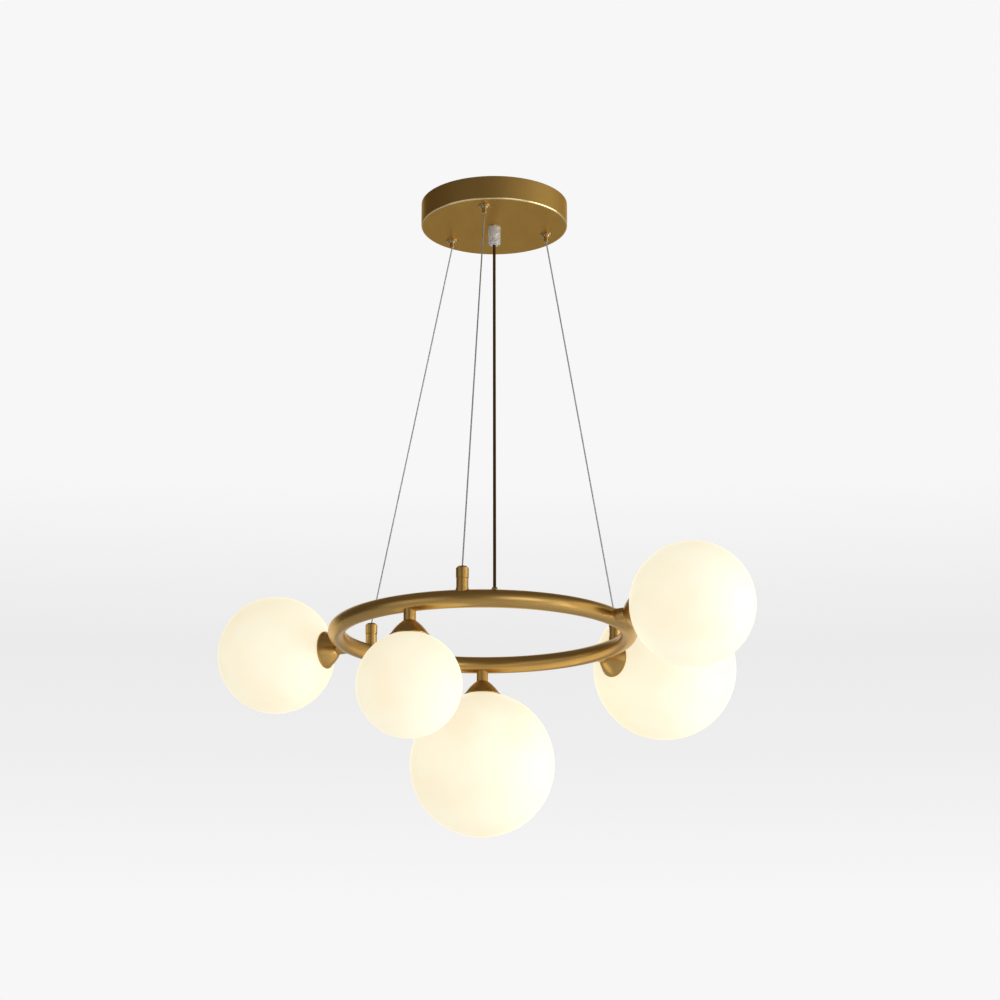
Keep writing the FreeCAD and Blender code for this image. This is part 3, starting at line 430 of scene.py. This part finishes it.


# the rounded edge round the face is polished and painted paler, a painted highlight: nowhere else do radius and depth
# add up to as much
tree = brushed_brass.node_tree
shader = tree.nodes["Principled BSDF"]
here = add(tree, "ShaderNodeTexCoord").outputs["Object"]
x, y, z = add(tree, "ShaderNodeSeparateXYZ", {"Vector": here}).outputs
edge_start = (COVER_DIAMETER / 2 + COVER_HEIGHT - EDGE_ROUNDING) * MM
on_edge = add(tree, "ShaderNodeMapRange", {
    "Value": maths(tree, "SUBTRACT", from_axis(tree, x, y), z),
    "From Min": edge_start + 0.05 * MM, "From Max": edge_start + 0.35 * MM}).outputs[0]
colour, rough = (shader.inputs[socket].links[0].from_socket for socket in ("Base Color", "Roughness"))
colour = add(tree, "ShaderNodeMix", {0: on_edge, 6: colour, 7: EDGE_PAINTED_HIGHLIGHT}, data_type="RGBA").outputs[2]
rough = add(tree, "ShaderNodeMix", {0: on_edge, 2: rough, 3: EDGE_ROUGHNESS}, data_type="FLOAT").outputs[0]
tree.links.new(colour, shader.inputs["Base Color"])
tree.links.new(rough, shader.inputs["Roughness"])

rim, face = COVER_DIAMETER / 2, -COVER_HEIGHT
cover = turned("canopy_cover_shell", [
    (0, face), (rim, face, EDGE_ROUNDING), (rim, 0, 0.2), (rim - COVER_WALL, 0, 0.2),
    (rim - COVER_WALL, face + COVER_WALL, 0.3), (0, face + COVER_WALL)], 256)
bits = [drill_bit(9.9, (0, 0, face - 1), (0, 0, face + 3))]
bits += [drill_bit(10.3, spot / MM + Vector((0, 0, face - 1)), spot / MM + Vector((0, 0, face + 3)))
         for spot in gripper_spots]
bits += [drill_bit(4.3, (side * (rim - 4), 0, -SIDE_SCREW_DEPTH), (side * (rim + 1), 0, -SIDE_SCREW_DEPTH))
         for side in (1, -1)]
cover = drilled(cover, bits)
cover.data.materials.clear()
cover.data.materials.append(brushed_brass)
finished(cover, "root", ["canopy_cover"])

# ---------------------------------------------------------------- ceiling bracket and what hides in the canopy
# A folded, zinc plated strip takes the ceiling screws. Two grub screws through its ears hold the
# cover. The terminal block, the earth screw and the leads from the cord lie above the cover's face.


def dressed(material, *names):
    """Gives CAD nodes that keep their own shape a finish."""
    for name in names:
        nodes[name].data.materials.clear()
        nodes[name].data.materials.append(material)


def speckled(tree):
    """An even, fine grain with slow clouds, for cast, plated and moulded surfaces."""
    here = add(tree, "ShaderNodeTexCoord").outputs["Object"]
    grain = add(tree, "ShaderNodeVectorMath", {0: here, 1: (3000, 3000, 3000)}, operation="MULTIPLY")
    cloud = add(tree, "ShaderNodeVectorMath", {0: here, 1: (90, 90, 90)}, operation="MULTIPLY")
    return grain.outputs[0], cloud.outputs[0]


zinc_plate = marked("zinc_plate", ((0.62, 0.64, 0.67), (0.50, 0.52, 0.56)), 0.34, 0.3, 0.000004, 1.0, speckled)
terminal_nylon = marked("terminal_nylon", ((0.80, 0.80, 0.77), (0.74, 0.74, 0.70)), 0.5, 0.2, 0.00001, 0.0, speckled)
lead_pvc = marked("lead_pvc", ((0.62, 0.55, 0.38), (0.52, 0.46, 0.32)), 0.42, 0.2, 0.000006, 0.0, speckled)
dressed(zinc_plate, "ceiling_bracket", "side_screws", "gripper_nuts", "terminal_screws", "earth_screw",
        "arm_nipples", "arm_nuts")
dressed(terminal_nylon, "terminal_block", "cord_grip_nut")
dressed(lead_pvc, "ring_wiring")

# ---------------------------------------------------------------- cable grippers
# Each gripper is a polished brass barrel through the cover, with a flange and a short nose below.
# A sprung plunger stands out of the nose round its cable, and pushing it up lets the cable run.


def stood_tree():
    """Stands a piece on every point, along that point's aim."""
    tree, given, end = shape_tree("stood_on_places", {"Piece": "Object"})
    piece = add(tree, "GeometryNodeObjectInfo", {"Object": given["Piece"]}).outputs["Geometry"]
    aim = add(tree, "GeometryNodeInputNamedAttribute", {"Name": "aim"}, data_type="FLOAT_VECTOR").outputs[0]
    turn = add(tree, "FunctionNodeAlignRotationToVector", {"Vector": aim}, axis="Z")
    stood = add(tree, "GeometryNodeInstanceOnPoints", {
        "Points": given["Geometry"], "Instance": piece, "Rotation": turn.outputs[0]})
    end(stood.outputs[0])
    return tree


stood_on_places = stood_tree()
UP = Vector((0, 0, 1))


def stood(name, piece, places, material, slot, body, replaced=()):
    """Stands a turned piece at each (point, direction) and gives it its finish, body and CAD node."""
    mesh = bpy.data.meshes.new(name + "_places")
    mesh.from_pydata([place for place, _ in places], [], [])
    aims = mesh.attributes.new("aim", "FLOAT_VECTOR", "POINT")
    for i, (_, direction) in enumerate(places):
        aims.data[i].vector = direction
    done = shaped(name, mesh, stood_on_places, {"Piece": piece, "Material": material})
    finished(done, body, replaced)
    return done


def put_away(*patterns):
    """Removes the pieces that were only patterns for others."""
    for pattern in patterns:
        bpy.data.objects.remove(pattern)


def turning_marks(tree):
    """Marks that run round a turned piece: close together along its outline, long round its axis."""
    spot = add(tree, "ShaderNodeUVMap", uv_map="UVMap").outputs[0]
    share, run = add(tree, "ShaderNodeSeparateXYZ", {"Vector": spot}).outputs[:2]
    angle = maths(tree, "MULTIPLY", share, 2 * math.pi)
    east, north = maths(tree, "COSINE", angle), maths(tree, "SINE", angle)
    lines = add(tree, "ShaderNodeCombineXYZ", {"X": east, "Y": north, "Z": maths(tree, "MULTIPLY", run, 14.0)})
    cloud = add(tree, "ShaderNodeCombineXYZ", {"X": east, "Y": north, "Z": maths(tree, "MULTIPLY", run, 0.3)})
    return lines.outputs[0], cloud.outputs[0]


LACQUER = {"Specular_Tint": (1.0, 0.88, 0.68, 1.0), "Coat_Weight": 0.3, "Coat_Roughness": 0.18}
POLISHED_BRASS = ((0.56, 0.45, 0.28), (0.44, 0.34, 0.19))
polished_brass = marked("polished_brass", POLISHED_BRASS, 0.15, 0.1, 0.000001, 1.0, turning_marks, **LACQUER)
FLANGE = (6.0, 1.2)
NOSE = (3.8, 1.5)
BARREL = (5.0, 16.0)
PLUNGER = (2.4, 5.4)
GUIDE = 2.5
CABLE_HOLE = 1.05
nose_end = -FLANGE[1] - NOSE[1]
plunger_tip = nose_end - PLUNGER[1]
gripper = turned("gripper", [
    (GUIDE, nose_end, 0.15), (NOSE[0], nose_end, 0.3), (NOSE[0] + 0.3, -FLANGE[1], 0.1),
    (FLANGE[0], -FLANGE[1], 0.35), (FLANGE[0], 0), (BARREL[0], 0), (BARREL[0], BARREL[1], 0.4),
    (CABLE_HOLE, BARREL[1], 0.2), (CABLE_HOLE, 14.8), (3.6, 14.8), (3.6, 0.3), (GUIDE, 0.3)])
plunger = turned("plunger", [
    (CABLE_HOLE, plunger_tip, 0.2), (PLUNGER[0], plunger_tip, 0.5), (PLUNGER[0], 0.3), (3.5, 0.3, 0.1),
    (3.5, 3.8, 0.2), (CABLE_HOLE, 3.8)], 64)


def coil_tree():
    """A round wire wound about Z, from z = 0 up."""
    tree, given, end = shape_tree("coil_spring", {
        "Turns": "Float", "Radius": "Float", "Height": "Float", "Wire": "Float"})
    line = add(tree, "GeometryNodeCurveSpiral", {
        "Resolution": 32, "Rotations": given["Turns"], "Start Radius": given["Radius"],
        "End Radius": given["Radius"], "Height": given["Height"]})
    section = add(tree, "GeometryNodeCurvePrimitiveCircle", {"Resolution": 12, "Radius": given["Wire"]})
    wire = add(tree, "GeometryNodeCurveToMesh", {
        "Curve": line.outputs[0], "Profile Curve": section.outputs[0], "Fill Caps": True})
    end(wire.outputs[0])
    return tree


spring_wire = marked("spring_wire", ((0.42, 0.43, 0.45), (0.34, 0.35, 0.37)), 0.3, 0.2, 0.000003, 1.0, speckled)
SPRING_HEIGHT = 11.0
PLUNGER_HEAD_TOP = 3.8
WIRE_RADIUS = 0.25
coil = shaped("coil", bpy.data.meshes.new("coil_start"), coil_tree(), {
    "Turns": 6.0, "Radius": 2.75 * MM, "Height": (SPRING_HEIGHT - 2 * WIRE_RADIUS) * MM, "Wire": WIRE_RADIUS * MM})
for number, spot in enumerate(gripper_spots, start=1):
    at_face = spot + Vector((0, 0, -COVER_HEIGHT * MM))
    stood(f"cable_gripper_{number}_barrel", gripper, [(at_face, UP)], polished_brass, "polished_brass", "root",
          [f"cable_gripper_{number}"])
    stood(f"gripper_plunger_{number}_sleeve", plunger, [(at_face, UP)], polished_brass, "polished_brass",
          f"plunger_{number}", [f"gripper_plunger_{number}"])
    coil_foot = at_face + Vector((0, 0, (PLUNGER_HEAD_TOP + WIRE_RADIUS) * MM))
    spring = stood(f"gripper_spring_{number}_coil", coil, [(coil_foot, UP)], spring_wire, "spring_steel", "root",
                   [f"gripper_spring_{number}"])
    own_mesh(spring)
put_away(gripper, plunger, coil)

# ---------------------------------------------------------------- cord grip
# The grip is a clear moulded plug under the middle of the cover. Its threaded shank takes a nylon nut
# above the face, and a nylon cross screw in its side pinches the cord.

clear_plastic, tree, shader = finish("clear_plastic", (0.97, 0.97, 0.97), 0.12, 0.0, Transmission_Weight=0.5, IOR=1.49)
cloud = speckled(tree)[1]
haze = add(tree, "ShaderNodeTexNoise", {"Vector": cloud, "Scale": 2.0, "Detail": 3.0}).outputs["Fac"]
tree.links.new(add(tree, "ShaderNodeMapRange", {"Value": haze, "To Min": 0.02, "To Max": 0.15}).outputs[0],
               shader.inputs["Roughness"])
ripple = add(tree, "ShaderNodeTexNoise", {"Vector": cloud, "Scale": 4.5, "Detail": 2.0}).outputs["Fac"]
uneven = add(tree, "ShaderNodeBump", {"Height": ripple, "Strength": 1.0, "Distance": 0.0025})
tree.links.new(uneven.outputs[0], shader.inputs["Normal"])
GRIP_RADIUS = 6.5
GRIP_LENGTH = 20.0
CORD_HOLE = 1.6
grip = turned("cord_grip_body", [
    (CORD_HOLE, -GRIP_LENGTH, 0.3), (GRIP_RADIUS - 2, -GRIP_LENGTH, 0.3), (GRIP_RADIUS, 2 - GRIP_LENGTH, 0.3),
    (GRIP_RADIUS, 0, 0.2), (4.8, 0), (4.8, 9, 0.4), (CORD_HOLE, 9, 0.2)], 96)
grip.data.transform(Matrix.Translation((0, 0, -COVER_HEIGHT * MM)))
screw_height = -COVER_HEIGHT - 10.5
drilled(grip, [drill_bit(4.1, (0, -GRIP_RADIUS - 1, screw_height), (0, 0, screw_height))])
grip.data.materials.clear()
grip.data.materials.append(clear_plastic)
finished(grip, "root", ["cord_grip"])
grip_nylon = marked("grip_nylon", ((0.86, 0.86, 0.84), (0.80, 0.80, 0.78)), 0.4, 0.2, 0.000006, 0.0, speckled)
dressed(grip_nylon, "cord_grip_screw")

# ---------------------------------------------------------------- suspension cables
# Three steel wire ropes, 1.5 mm thick, run from the grippers to the posts on the ring. Six strands
# are laid round a seventh. They are taut, so each one is a straight line.


def route_curve(name, points):
    """A cord's own line: one smooth spline with the route's points as its control points."""
    curve = bpy.data.curves.new(name, "CURVE")
    curve.dimensions = "3D"
    spline = curve.splines.new("NURBS")
    spline.points.add(len(points) - 1)
    for control, point in zip(spline.points, points):
        control.co = (*point, 1)
    spline.order_u = 3
    spline.use_endpoint_u = True
    spline.resolution_u = 24
    return curve


def points_along(curve):
    """Points read from a route's spline."""
    reader = bpy.data.objects.new("route_reader", curve)
    scene.collection.objects.link(reader)
    bpy.context.view_layer.update()
    depsgraph = bpy.context.evaluated_depsgraph_get()
    mesh = bpy.data.meshes.new_from_object(reader.evaluated_get(depsgraph), depsgraph=depsgraph)
    points = [vertex.co.copy() for vertex in mesh.vertices]
    bpy.data.objects.remove(reader)
    return points


def wire_rope_tree():
    """Strands wound round a straight one, along a curve."""
    tree, given, end = shape_tree("wire_rope", {
        "Strands": "Int", "Strand Radius": "Float", "Lay Length": "Float", "Step": "Float"})
    line = add(tree, "GeometryNodeResampleCurve", {"Curve": given["Geometry"], "Length": given["Step"]}, mode="LENGTH")
    copies = add(tree, "GeometryNodeDuplicateElements", {
        "Geometry": line.outputs[0], "Amount": given["Strands"]}, domain="SPLINE")
    start = maths(tree, "DIVIDE", copies.outputs["Duplicate Index"], given["Strands"])
    run = add(tree, "GeometryNodeSplineParameter").outputs["Length"]
    turns = maths(tree, "ADD", start, maths(tree, "DIVIDE", run, given["Lay Length"]))
    angle = maths(tree, "MULTIPLY", turns, 2 * math.pi)
    out = add(tree, "GeometryNodeInputNormal").outputs["Normal"]
    tangent = add(tree, "GeometryNodeInputTangent").outputs[0]
    away = add(tree, "ShaderNodeVectorRotate", {"Vector": out, "Axis": tangent, "Angle": angle},
               rotation_type="AXIS_ANGLE")
    reach = maths(tree, "MULTIPLY", given["Strand Radius"], 2.0)
    offset = add(tree, "ShaderNodeVectorMath", {0: away.outputs[0]}, operation="SCALE")
    tree.links.new(reach, offset.inputs["Scale"])
    wound = add(tree, "GeometryNodeSetPosition", {"Geometry": copies.outputs["Geometry"], "Offset": offset.outputs[0]})
    both = add(tree, "GeometryNodeJoinGeometry")
    tree.links.new(line.outputs[0], both.inputs[0])
    tree.links.new(wound.outputs[0], both.inputs[0])
    section = add(tree, "GeometryNodeCurvePrimitiveCircle", {"Resolution": 8, "Radius": given["Strand Radius"]})
    strands = add(tree, "GeometryNodeCurveToMesh", {
        "Curve": both.outputs[0], "Profile Curve": section.outputs[0], "Fill Caps": True})
    end(strands.outputs[0])
    return tree


wire_rope = wire_rope_tree()
cable_steel = marked("cable_steel", ((0.60, 0.61, 0.63), (0.50, 0.51, 0.53)), 0.45, 0.2, 0.000002, 1.0, speckled)
CABLE_DIAMETER = 1.5 * MM
LAY_LENGTH = 10 * MM
post_spots = []
for number, spot in enumerate(gripper_spots, start=1):
    low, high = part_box(f"suspension_cable_{number}")
    # a cable leans, so its box's corners away from its gripper are over its post
    half = CABLE_DIAMETER / 2
    across = [low[i] + half if abs(low[i] + half - spot[i]) > abs(high[i] - half - spot[i]) else high[i] - half
              for i in (0, 1)]
    top, bottom = Vector((spot.x, spot.y, high.z)), Vector((*across, low.z))
    post_spots.append(bottom)
    lead = (bottom - top).normalized() * 6 * CABLE_DIAMETER
    route = [top, top + lead, bottom - lead, bottom]
    line = route_curve(f"cable_route_{number}", route)
    path = points_along(line)
    cable = shaped(f"suspension_cable_{number}_rope", line, wire_rope, {
        "Strands": 6, "Strand Radius": CABLE_DIAMETER / 6, "Lay Length": LAY_LENGTH, "Step": LAY_LENGTH / 16,
        "Material": cable_steel})
    finished(cable, "root", [f"suspension_cable_{number}"])
    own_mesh(cable)
dressed(cable_steel, "cable_tails", "cable_ends")

# ---------------------------------------------------------------- power cord
# A round two-core cord, 3 mm thick with a dark brown jacket, leaves the grip straight down. It leans
# over to the near side of the ring and enters the tube through a small flared brass bushing.


def round_cord_tree():
    """A round cord along a curve."""
    tree, given, end = shape_tree("round_cord", {"Radius": "Float", "Step": "Float"})
    line = add(tree, "GeometryNodeResampleCurve", {"Curve": given["Geometry"], "Length": given["Step"]}, mode="LENGTH")
    section = add(tree, "GeometryNodeCurvePrimitiveCircle", {"Resolution": 32, "Radius": given["Radius"]})
    jacket = add(tree, "GeometryNodeCurveToMesh", {
        "Curve": line.outputs[0], "Profile Curve": section.outputs[0], "Fill Caps": True})
    end(jacket.outputs[0])
    return tree


cord_jacket = marked("cord_jacket", ((0.056, 0.022, 0.001), (0.066, 0.028, 0.002)), 0.55, 0.15, 0.000004, 0.0, speckled,
                     Specular_IOR_Level=0.12)
CORD_DIAMETER = 3 * MM
cord_exit = Vector((0, 0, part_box("power_cord")[1].z))
low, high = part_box("cord_bushing")
cord_entry = Vector(((low.x + high.x) / 2, (low.y + high.y) / 2, high.z))
CORD_ROUTE = (
    cord_exit,
    cord_exit + Vector((0, 0, -0.013)),
    cord_exit + Vector((0, -0.006, -0.039)),
    cord_entry + Vector((0, 0.007, 0.037)),
    cord_entry + Vector((0, 0, 0.012)),
    cord_entry,
)
line = route_curve("cord_route", CORD_ROUTE)
path = points_along(line)
cord = shaped("power_cord_jacket", line, round_cord_tree(), {
    "Radius": CORD_DIAMETER / 2, "Step": 2 * MM, "Material": cord_jacket})
finished(cord, "root", ["power_cord"])
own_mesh(cord)
dressed(cord_jacket, "canopy_leads")

# ---------------------------------------------------------------- ring
# The ring is brass tube, 17.2 mm thick, bent to a circle, welded closed and polished along its length.
# It hangs level from the cables, and is drilled for the posts, the cord and the arms.


def bent_tube_tree():
    """A round tube bent to a circle about Z."""
    tree, given, end = shape_tree("bent_tube", {"Ring Radius": "Float", "Tube Radius": "Float"})
    ring = add(tree, "GeometryNodeCurvePrimitiveCircle", {"Resolution": 288, "Radius": given["Ring Radius"]})
    section = add(tree, "GeometryNodeCurvePrimitiveCircle", {"Resolution": 64, "Radius": given["Tube Radius"]})
    tube = add(tree, "GeometryNodeCurveToMesh", {"Curve": ring.outputs[0], "Profile Curve": section.outputs[0]})
    end(tube.outputs[0])
    return tree


TUBE_RADIUS = 8.6 * MM
low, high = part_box("ring_tube")
ring_centre = (low + high) / 2
ring_radius = (high.x - low.x) / 2 - TUBE_RADIUS
bent_tube = bent_tube_tree()


def along_the_tube(tree):
    """Marks that run along the bent tube: close together round its section, long along it."""
    here = add(tree, "ShaderNodeTexCoord").outputs["Object"]
    place = add(tree, "ShaderNodeVectorMath", {0: here, 1: tuple(ring_centre)}, operation="SUBTRACT").outputs[0]
    x, y, z = add(tree, "ShaderNodeSeparateXYZ", {"Vector": place}).outputs
    turn = maths(tree, "ARCTAN2", z, maths(tree, "SUBTRACT", from_axis(tree, x, y), ring_radius))
    lines = add(tree, "ShaderNodeCombineXYZ", {
        "X": maths(tree, "MULTIPLY", x, 40.0), "Y": maths(tree, "MULTIPLY", y, 40.0),
        "Z": maths(tree, "MULTIPLY", turn, 30.0)})
    cloud = add(tree, "ShaderNodeVectorMath", {0: place, 1: (25, 25, 25)}, operation="MULTIPLY")
    return lines.outputs[0], cloud.outputs[0]


def ring_form(name, material=None):
    """The bent tube's outside."""
    form = shaped(name, bpy.data.meshes.new(name + "_start"), bent_tube, {
        "Ring Radius": ring_radius, "Tube Radius": TUBE_RADIUS, "Material": material})
    form.data.transform(Matrix.Translation(ring_centre))
    return form


tube_brass = marked("tube_brass", SATIN_BRASS, 0.33, 0.15, 0.000003, 1.0, along_the_tube, **LACQUER)
finished(ring_form("ring_tube_bent", tube_brass), "ring", ["ring_tube"])

# ---------------------------------------------------------------- posts and caps
# Each cable ends in a stop held by a chamfered cap, which is screwed on a turned post. The post has a
# collar fitted to the tube and a groove under the cap.


def saddled(piece):
    """A piece on the ring, its foot cut to sit on the tube."""
    return drilled(piece, [ring_form("ring_cutter")])


turned_brass = marked("turned_brass", SATIN_BRASS, 0.36, 0.2, 0.000004, 1.0, turning_marks, **LACQUER)
tube_top = ring_centre.z + TUBE_RADIUS
post = turned("post", [
    (0, -4.3), (6.3, -4.3), (6.3, 1.2, 0.3), (5.75, 1.2, 0.1), (5.75, 10.6, 0.25), (4.9, 10.6, 0.1),
    (4.9, 11.4), (3.9, 11.4), (3.9, 15.0, 0.4), (0, 15.0)])
cap = turned("cap", [
    (3.95, 11.4), (6.1, 11.4, 0.3), (6.1, 20.8, 0.3), (4.5, 22.4, 0.3), (CABLE_HOLE, 22.4, 0.2),
    (CABLE_HOLE, 20.4), (2.6, 20.4), (2.6, 15.4), (3.95, 15.4)])
tops = [(Vector((spot.x, spot.y, tube_top)), UP) for spot in post_spots]
saddled(stood("cable_posts_turned", post, tops, turned_brass, "satin_brass", "ring", ["cable_posts"]))
stood("post_caps_turned", cap, tops, turned_brass, "satin_brass", "ring", ["post_caps"])

bushing = turned("bushing", [
    (CORD_HOLE, -4.3), (3.3, -4.3), (3.3, 0.3, 0.1), (2.1, 2.4, 0.15), (CORD_HOLE, 2.4, 0.1)], 64)
saddled(stood("cord_bushing_flare", bushing, [(Vector((cord_entry.x, cord_entry.y, tube_top)), UP)],
              polished_brass, "polished_brass", "ring", ["cord_bushing"]))
put_away(post, cap, bushing)

# ---------------------------------------------------------------- arms and cups
# Each globe stands on a turned sleeve, saddled on the tube, and a flared cup. A hollow threaded rod
# and a hexagon nut inside the cup clamp both to the ring.

NECK = (5.9, 17.5)
NIPPLE_HOLE = 5.05
CUP_RIM = 32.0
arms = []
for number in range(1, 6):
    joint = joints[f"globe_{number}_unscrew"]
    low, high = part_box(f"glass_globe_{number}")
    arms.append((number, Vector(joint["pos_m"]), Vector(joint["axis"]), (high - low)))
on_arms = [(base, aim) for _, base, aim, _ in arms]
neck = turned("neck", [(NIPPLE_HOLE, 4.3), (NECK[0], 4.3), (NECK[0], NECK[1], 0.15), (NIPPLE_HOLE, NECK[1])])
saddled(stood("arm_necks_turned", neck, on_arms, turned_brass, "satin_brass", "ring", ["arm_necks"]))


def bowed(start, end, bulge, steps=16):
    """Outline points on a shallow bow between two points, its middle moved out by the bulge."""
    start, end = Vector(start), Vector(end)
    out = (end - start).normalized()
    middle = (start + end) / 2 + Vector((out.y, -out.x)) * 2 * bulge
    return [tuple(start * (1 - t) ** 2 + middle * 2 * t * (1 - t) + end * t ** 2)
            for t in (i / steps for i in range(steps + 1))]


cup = turned("cup", [
    (NIPPLE_HOLE, NECK[1]), (5.6, NECK[1], 0.1), *bowed((6.3, 17.5), (18.4, 30.9), 0.9), (19.0, 30.9, 0.15),
    (19.0, CUP_RIM, 0.15), (18.6, CUP_RIM), (17.1, 30.6), (17.1, 29.6), (13.3, 29.6), (13.3, 26.2),
    (7.7, 20.1), (NIPPLE_HOLE, 20.1)], 128)
for number, base, aim, _ in arms:
    stood(f"globe_cup_{number}_turned", cup, [(base, aim)], turned_brass, "satin_brass", "ring",
          [f"globe_cup_{number}"])
put_away(neck, cup)

# ---------------------------------------------------------------- lamp holders and seals
# A ceramic two-pin holder is screwed on each rod's end, and a silicone washer lies in each cup's
# recess, under the glass.

steatite = marked("steatite", ((0.82, 0.79, 0.72), (0.76, 0.72, 0.64)), 0.6, 0.2, 0.00002, 0.0, speckled)
silicone = marked("silicone", ((0.80, 0.80, 0.78), (0.74, 0.74, 0.72)), 0.5, 0.2, 0.00001, 0.0, speckled)
lamp_frost = marked("lamp_frost", ((0.90, 0.88, 0.80), (0.86, 0.84, 0.76)), 0.45, 0.2, 0.00001, 0.0, speckled)
for number, *_ in arms:
    dressed(steatite, f"lamp_holder_{number}")
    dressed(silicone, f"globe_seal_{number}")
    dressed(lamp_frost, f"led_bulb_{number}")

# ---------------------------------------------------------------- globes
# Each globe is blown opal glass with an etched outside and a neck that screws into its cup. The lamp
# inside makes it glow evenly, a warm white.


def arc(centre, radius, start, end, steps):
    """Outline points on an arc, its angles in degrees counted from straight out towards up."""
    angles = [math.radians(start + (end - start) * i / steps) for i in range(steps + 1)]
    return [(centre[0] + radius * math.cos(a), centre[1] + radius * math.sin(a)) for a in angles]


opal_glass, tree, shader = finish("opal_glass", (0.56, 0.56, 0.55), 0.42, 0.0, Specular_IOR_Level=0.3,
                                  Emission_Strength=0.70)
here = add(tree, "ShaderNodeTexCoord").outputs["Object"]
cloud = add(tree, "ShaderNodeTexNoise", {"Vector": here, "Scale": 18.0, "Detail": 2.0}).outputs["Fac"]
glow = ramp(tree, cloud, [(0.35, (1.0, 0.84, 0.53)), (0.65, (1.0, 0.92, 0.64))])
tree.links.new(glow, shader.inputs["Emission Color"])
etch = add(tree, "ShaderNodeTexNoise", {"Vector": here, "Scale": 900.0, "Detail": 3.0}).outputs["Fac"]
tree.links.new(add(tree, "ShaderNodeMapRange", {"Value": etch, "To Min": 0.36, "To Max": 0.5}).outputs[0],
               shader.inputs["Roughness"])
GLASS_WALL = 2.5
GLASS_NECK = 13.0
NECK_START = 25.6
LIP_CLEARANCE = 0.3
LIP_EDGE = 18.6
for number, base, aim, size in arms:
    # across its arm a globe is as wide as its sphere
    across = [side for side, share in zip(size, aim) if abs(share) < 0.01]
    radius = across[0] / 2 / MM
    centre = CUP_RIM + math.sqrt((radius + LIP_CLEARANCE) ** 2 - LIP_EDGE ** 2)
    inside, bore = radius - GLASS_WALL, GLASS_NECK - GLASS_WALL
    inner_foot = -math.degrees(math.acos(bore / inside))
    outer_foot = -math.degrees(math.acos(GLASS_NECK / radius))
    globe = turned(f"globe_{number}_outline", [
        *arc((0, centre), inside, 90, inner_foot, 56), (bore, NECK_START, 0.6), (GLASS_NECK, NECK_START, 0.6),
        *arc((0, centre), radius, outer_foot, 90, 72)], 144)
    stood(f"glass_globe_{number}_blown", globe, [(base, aim)], opal_glass, "opal_glass", f"globe_{number}",
          [f"glass_globe_{number}"])
    put_away(globe)
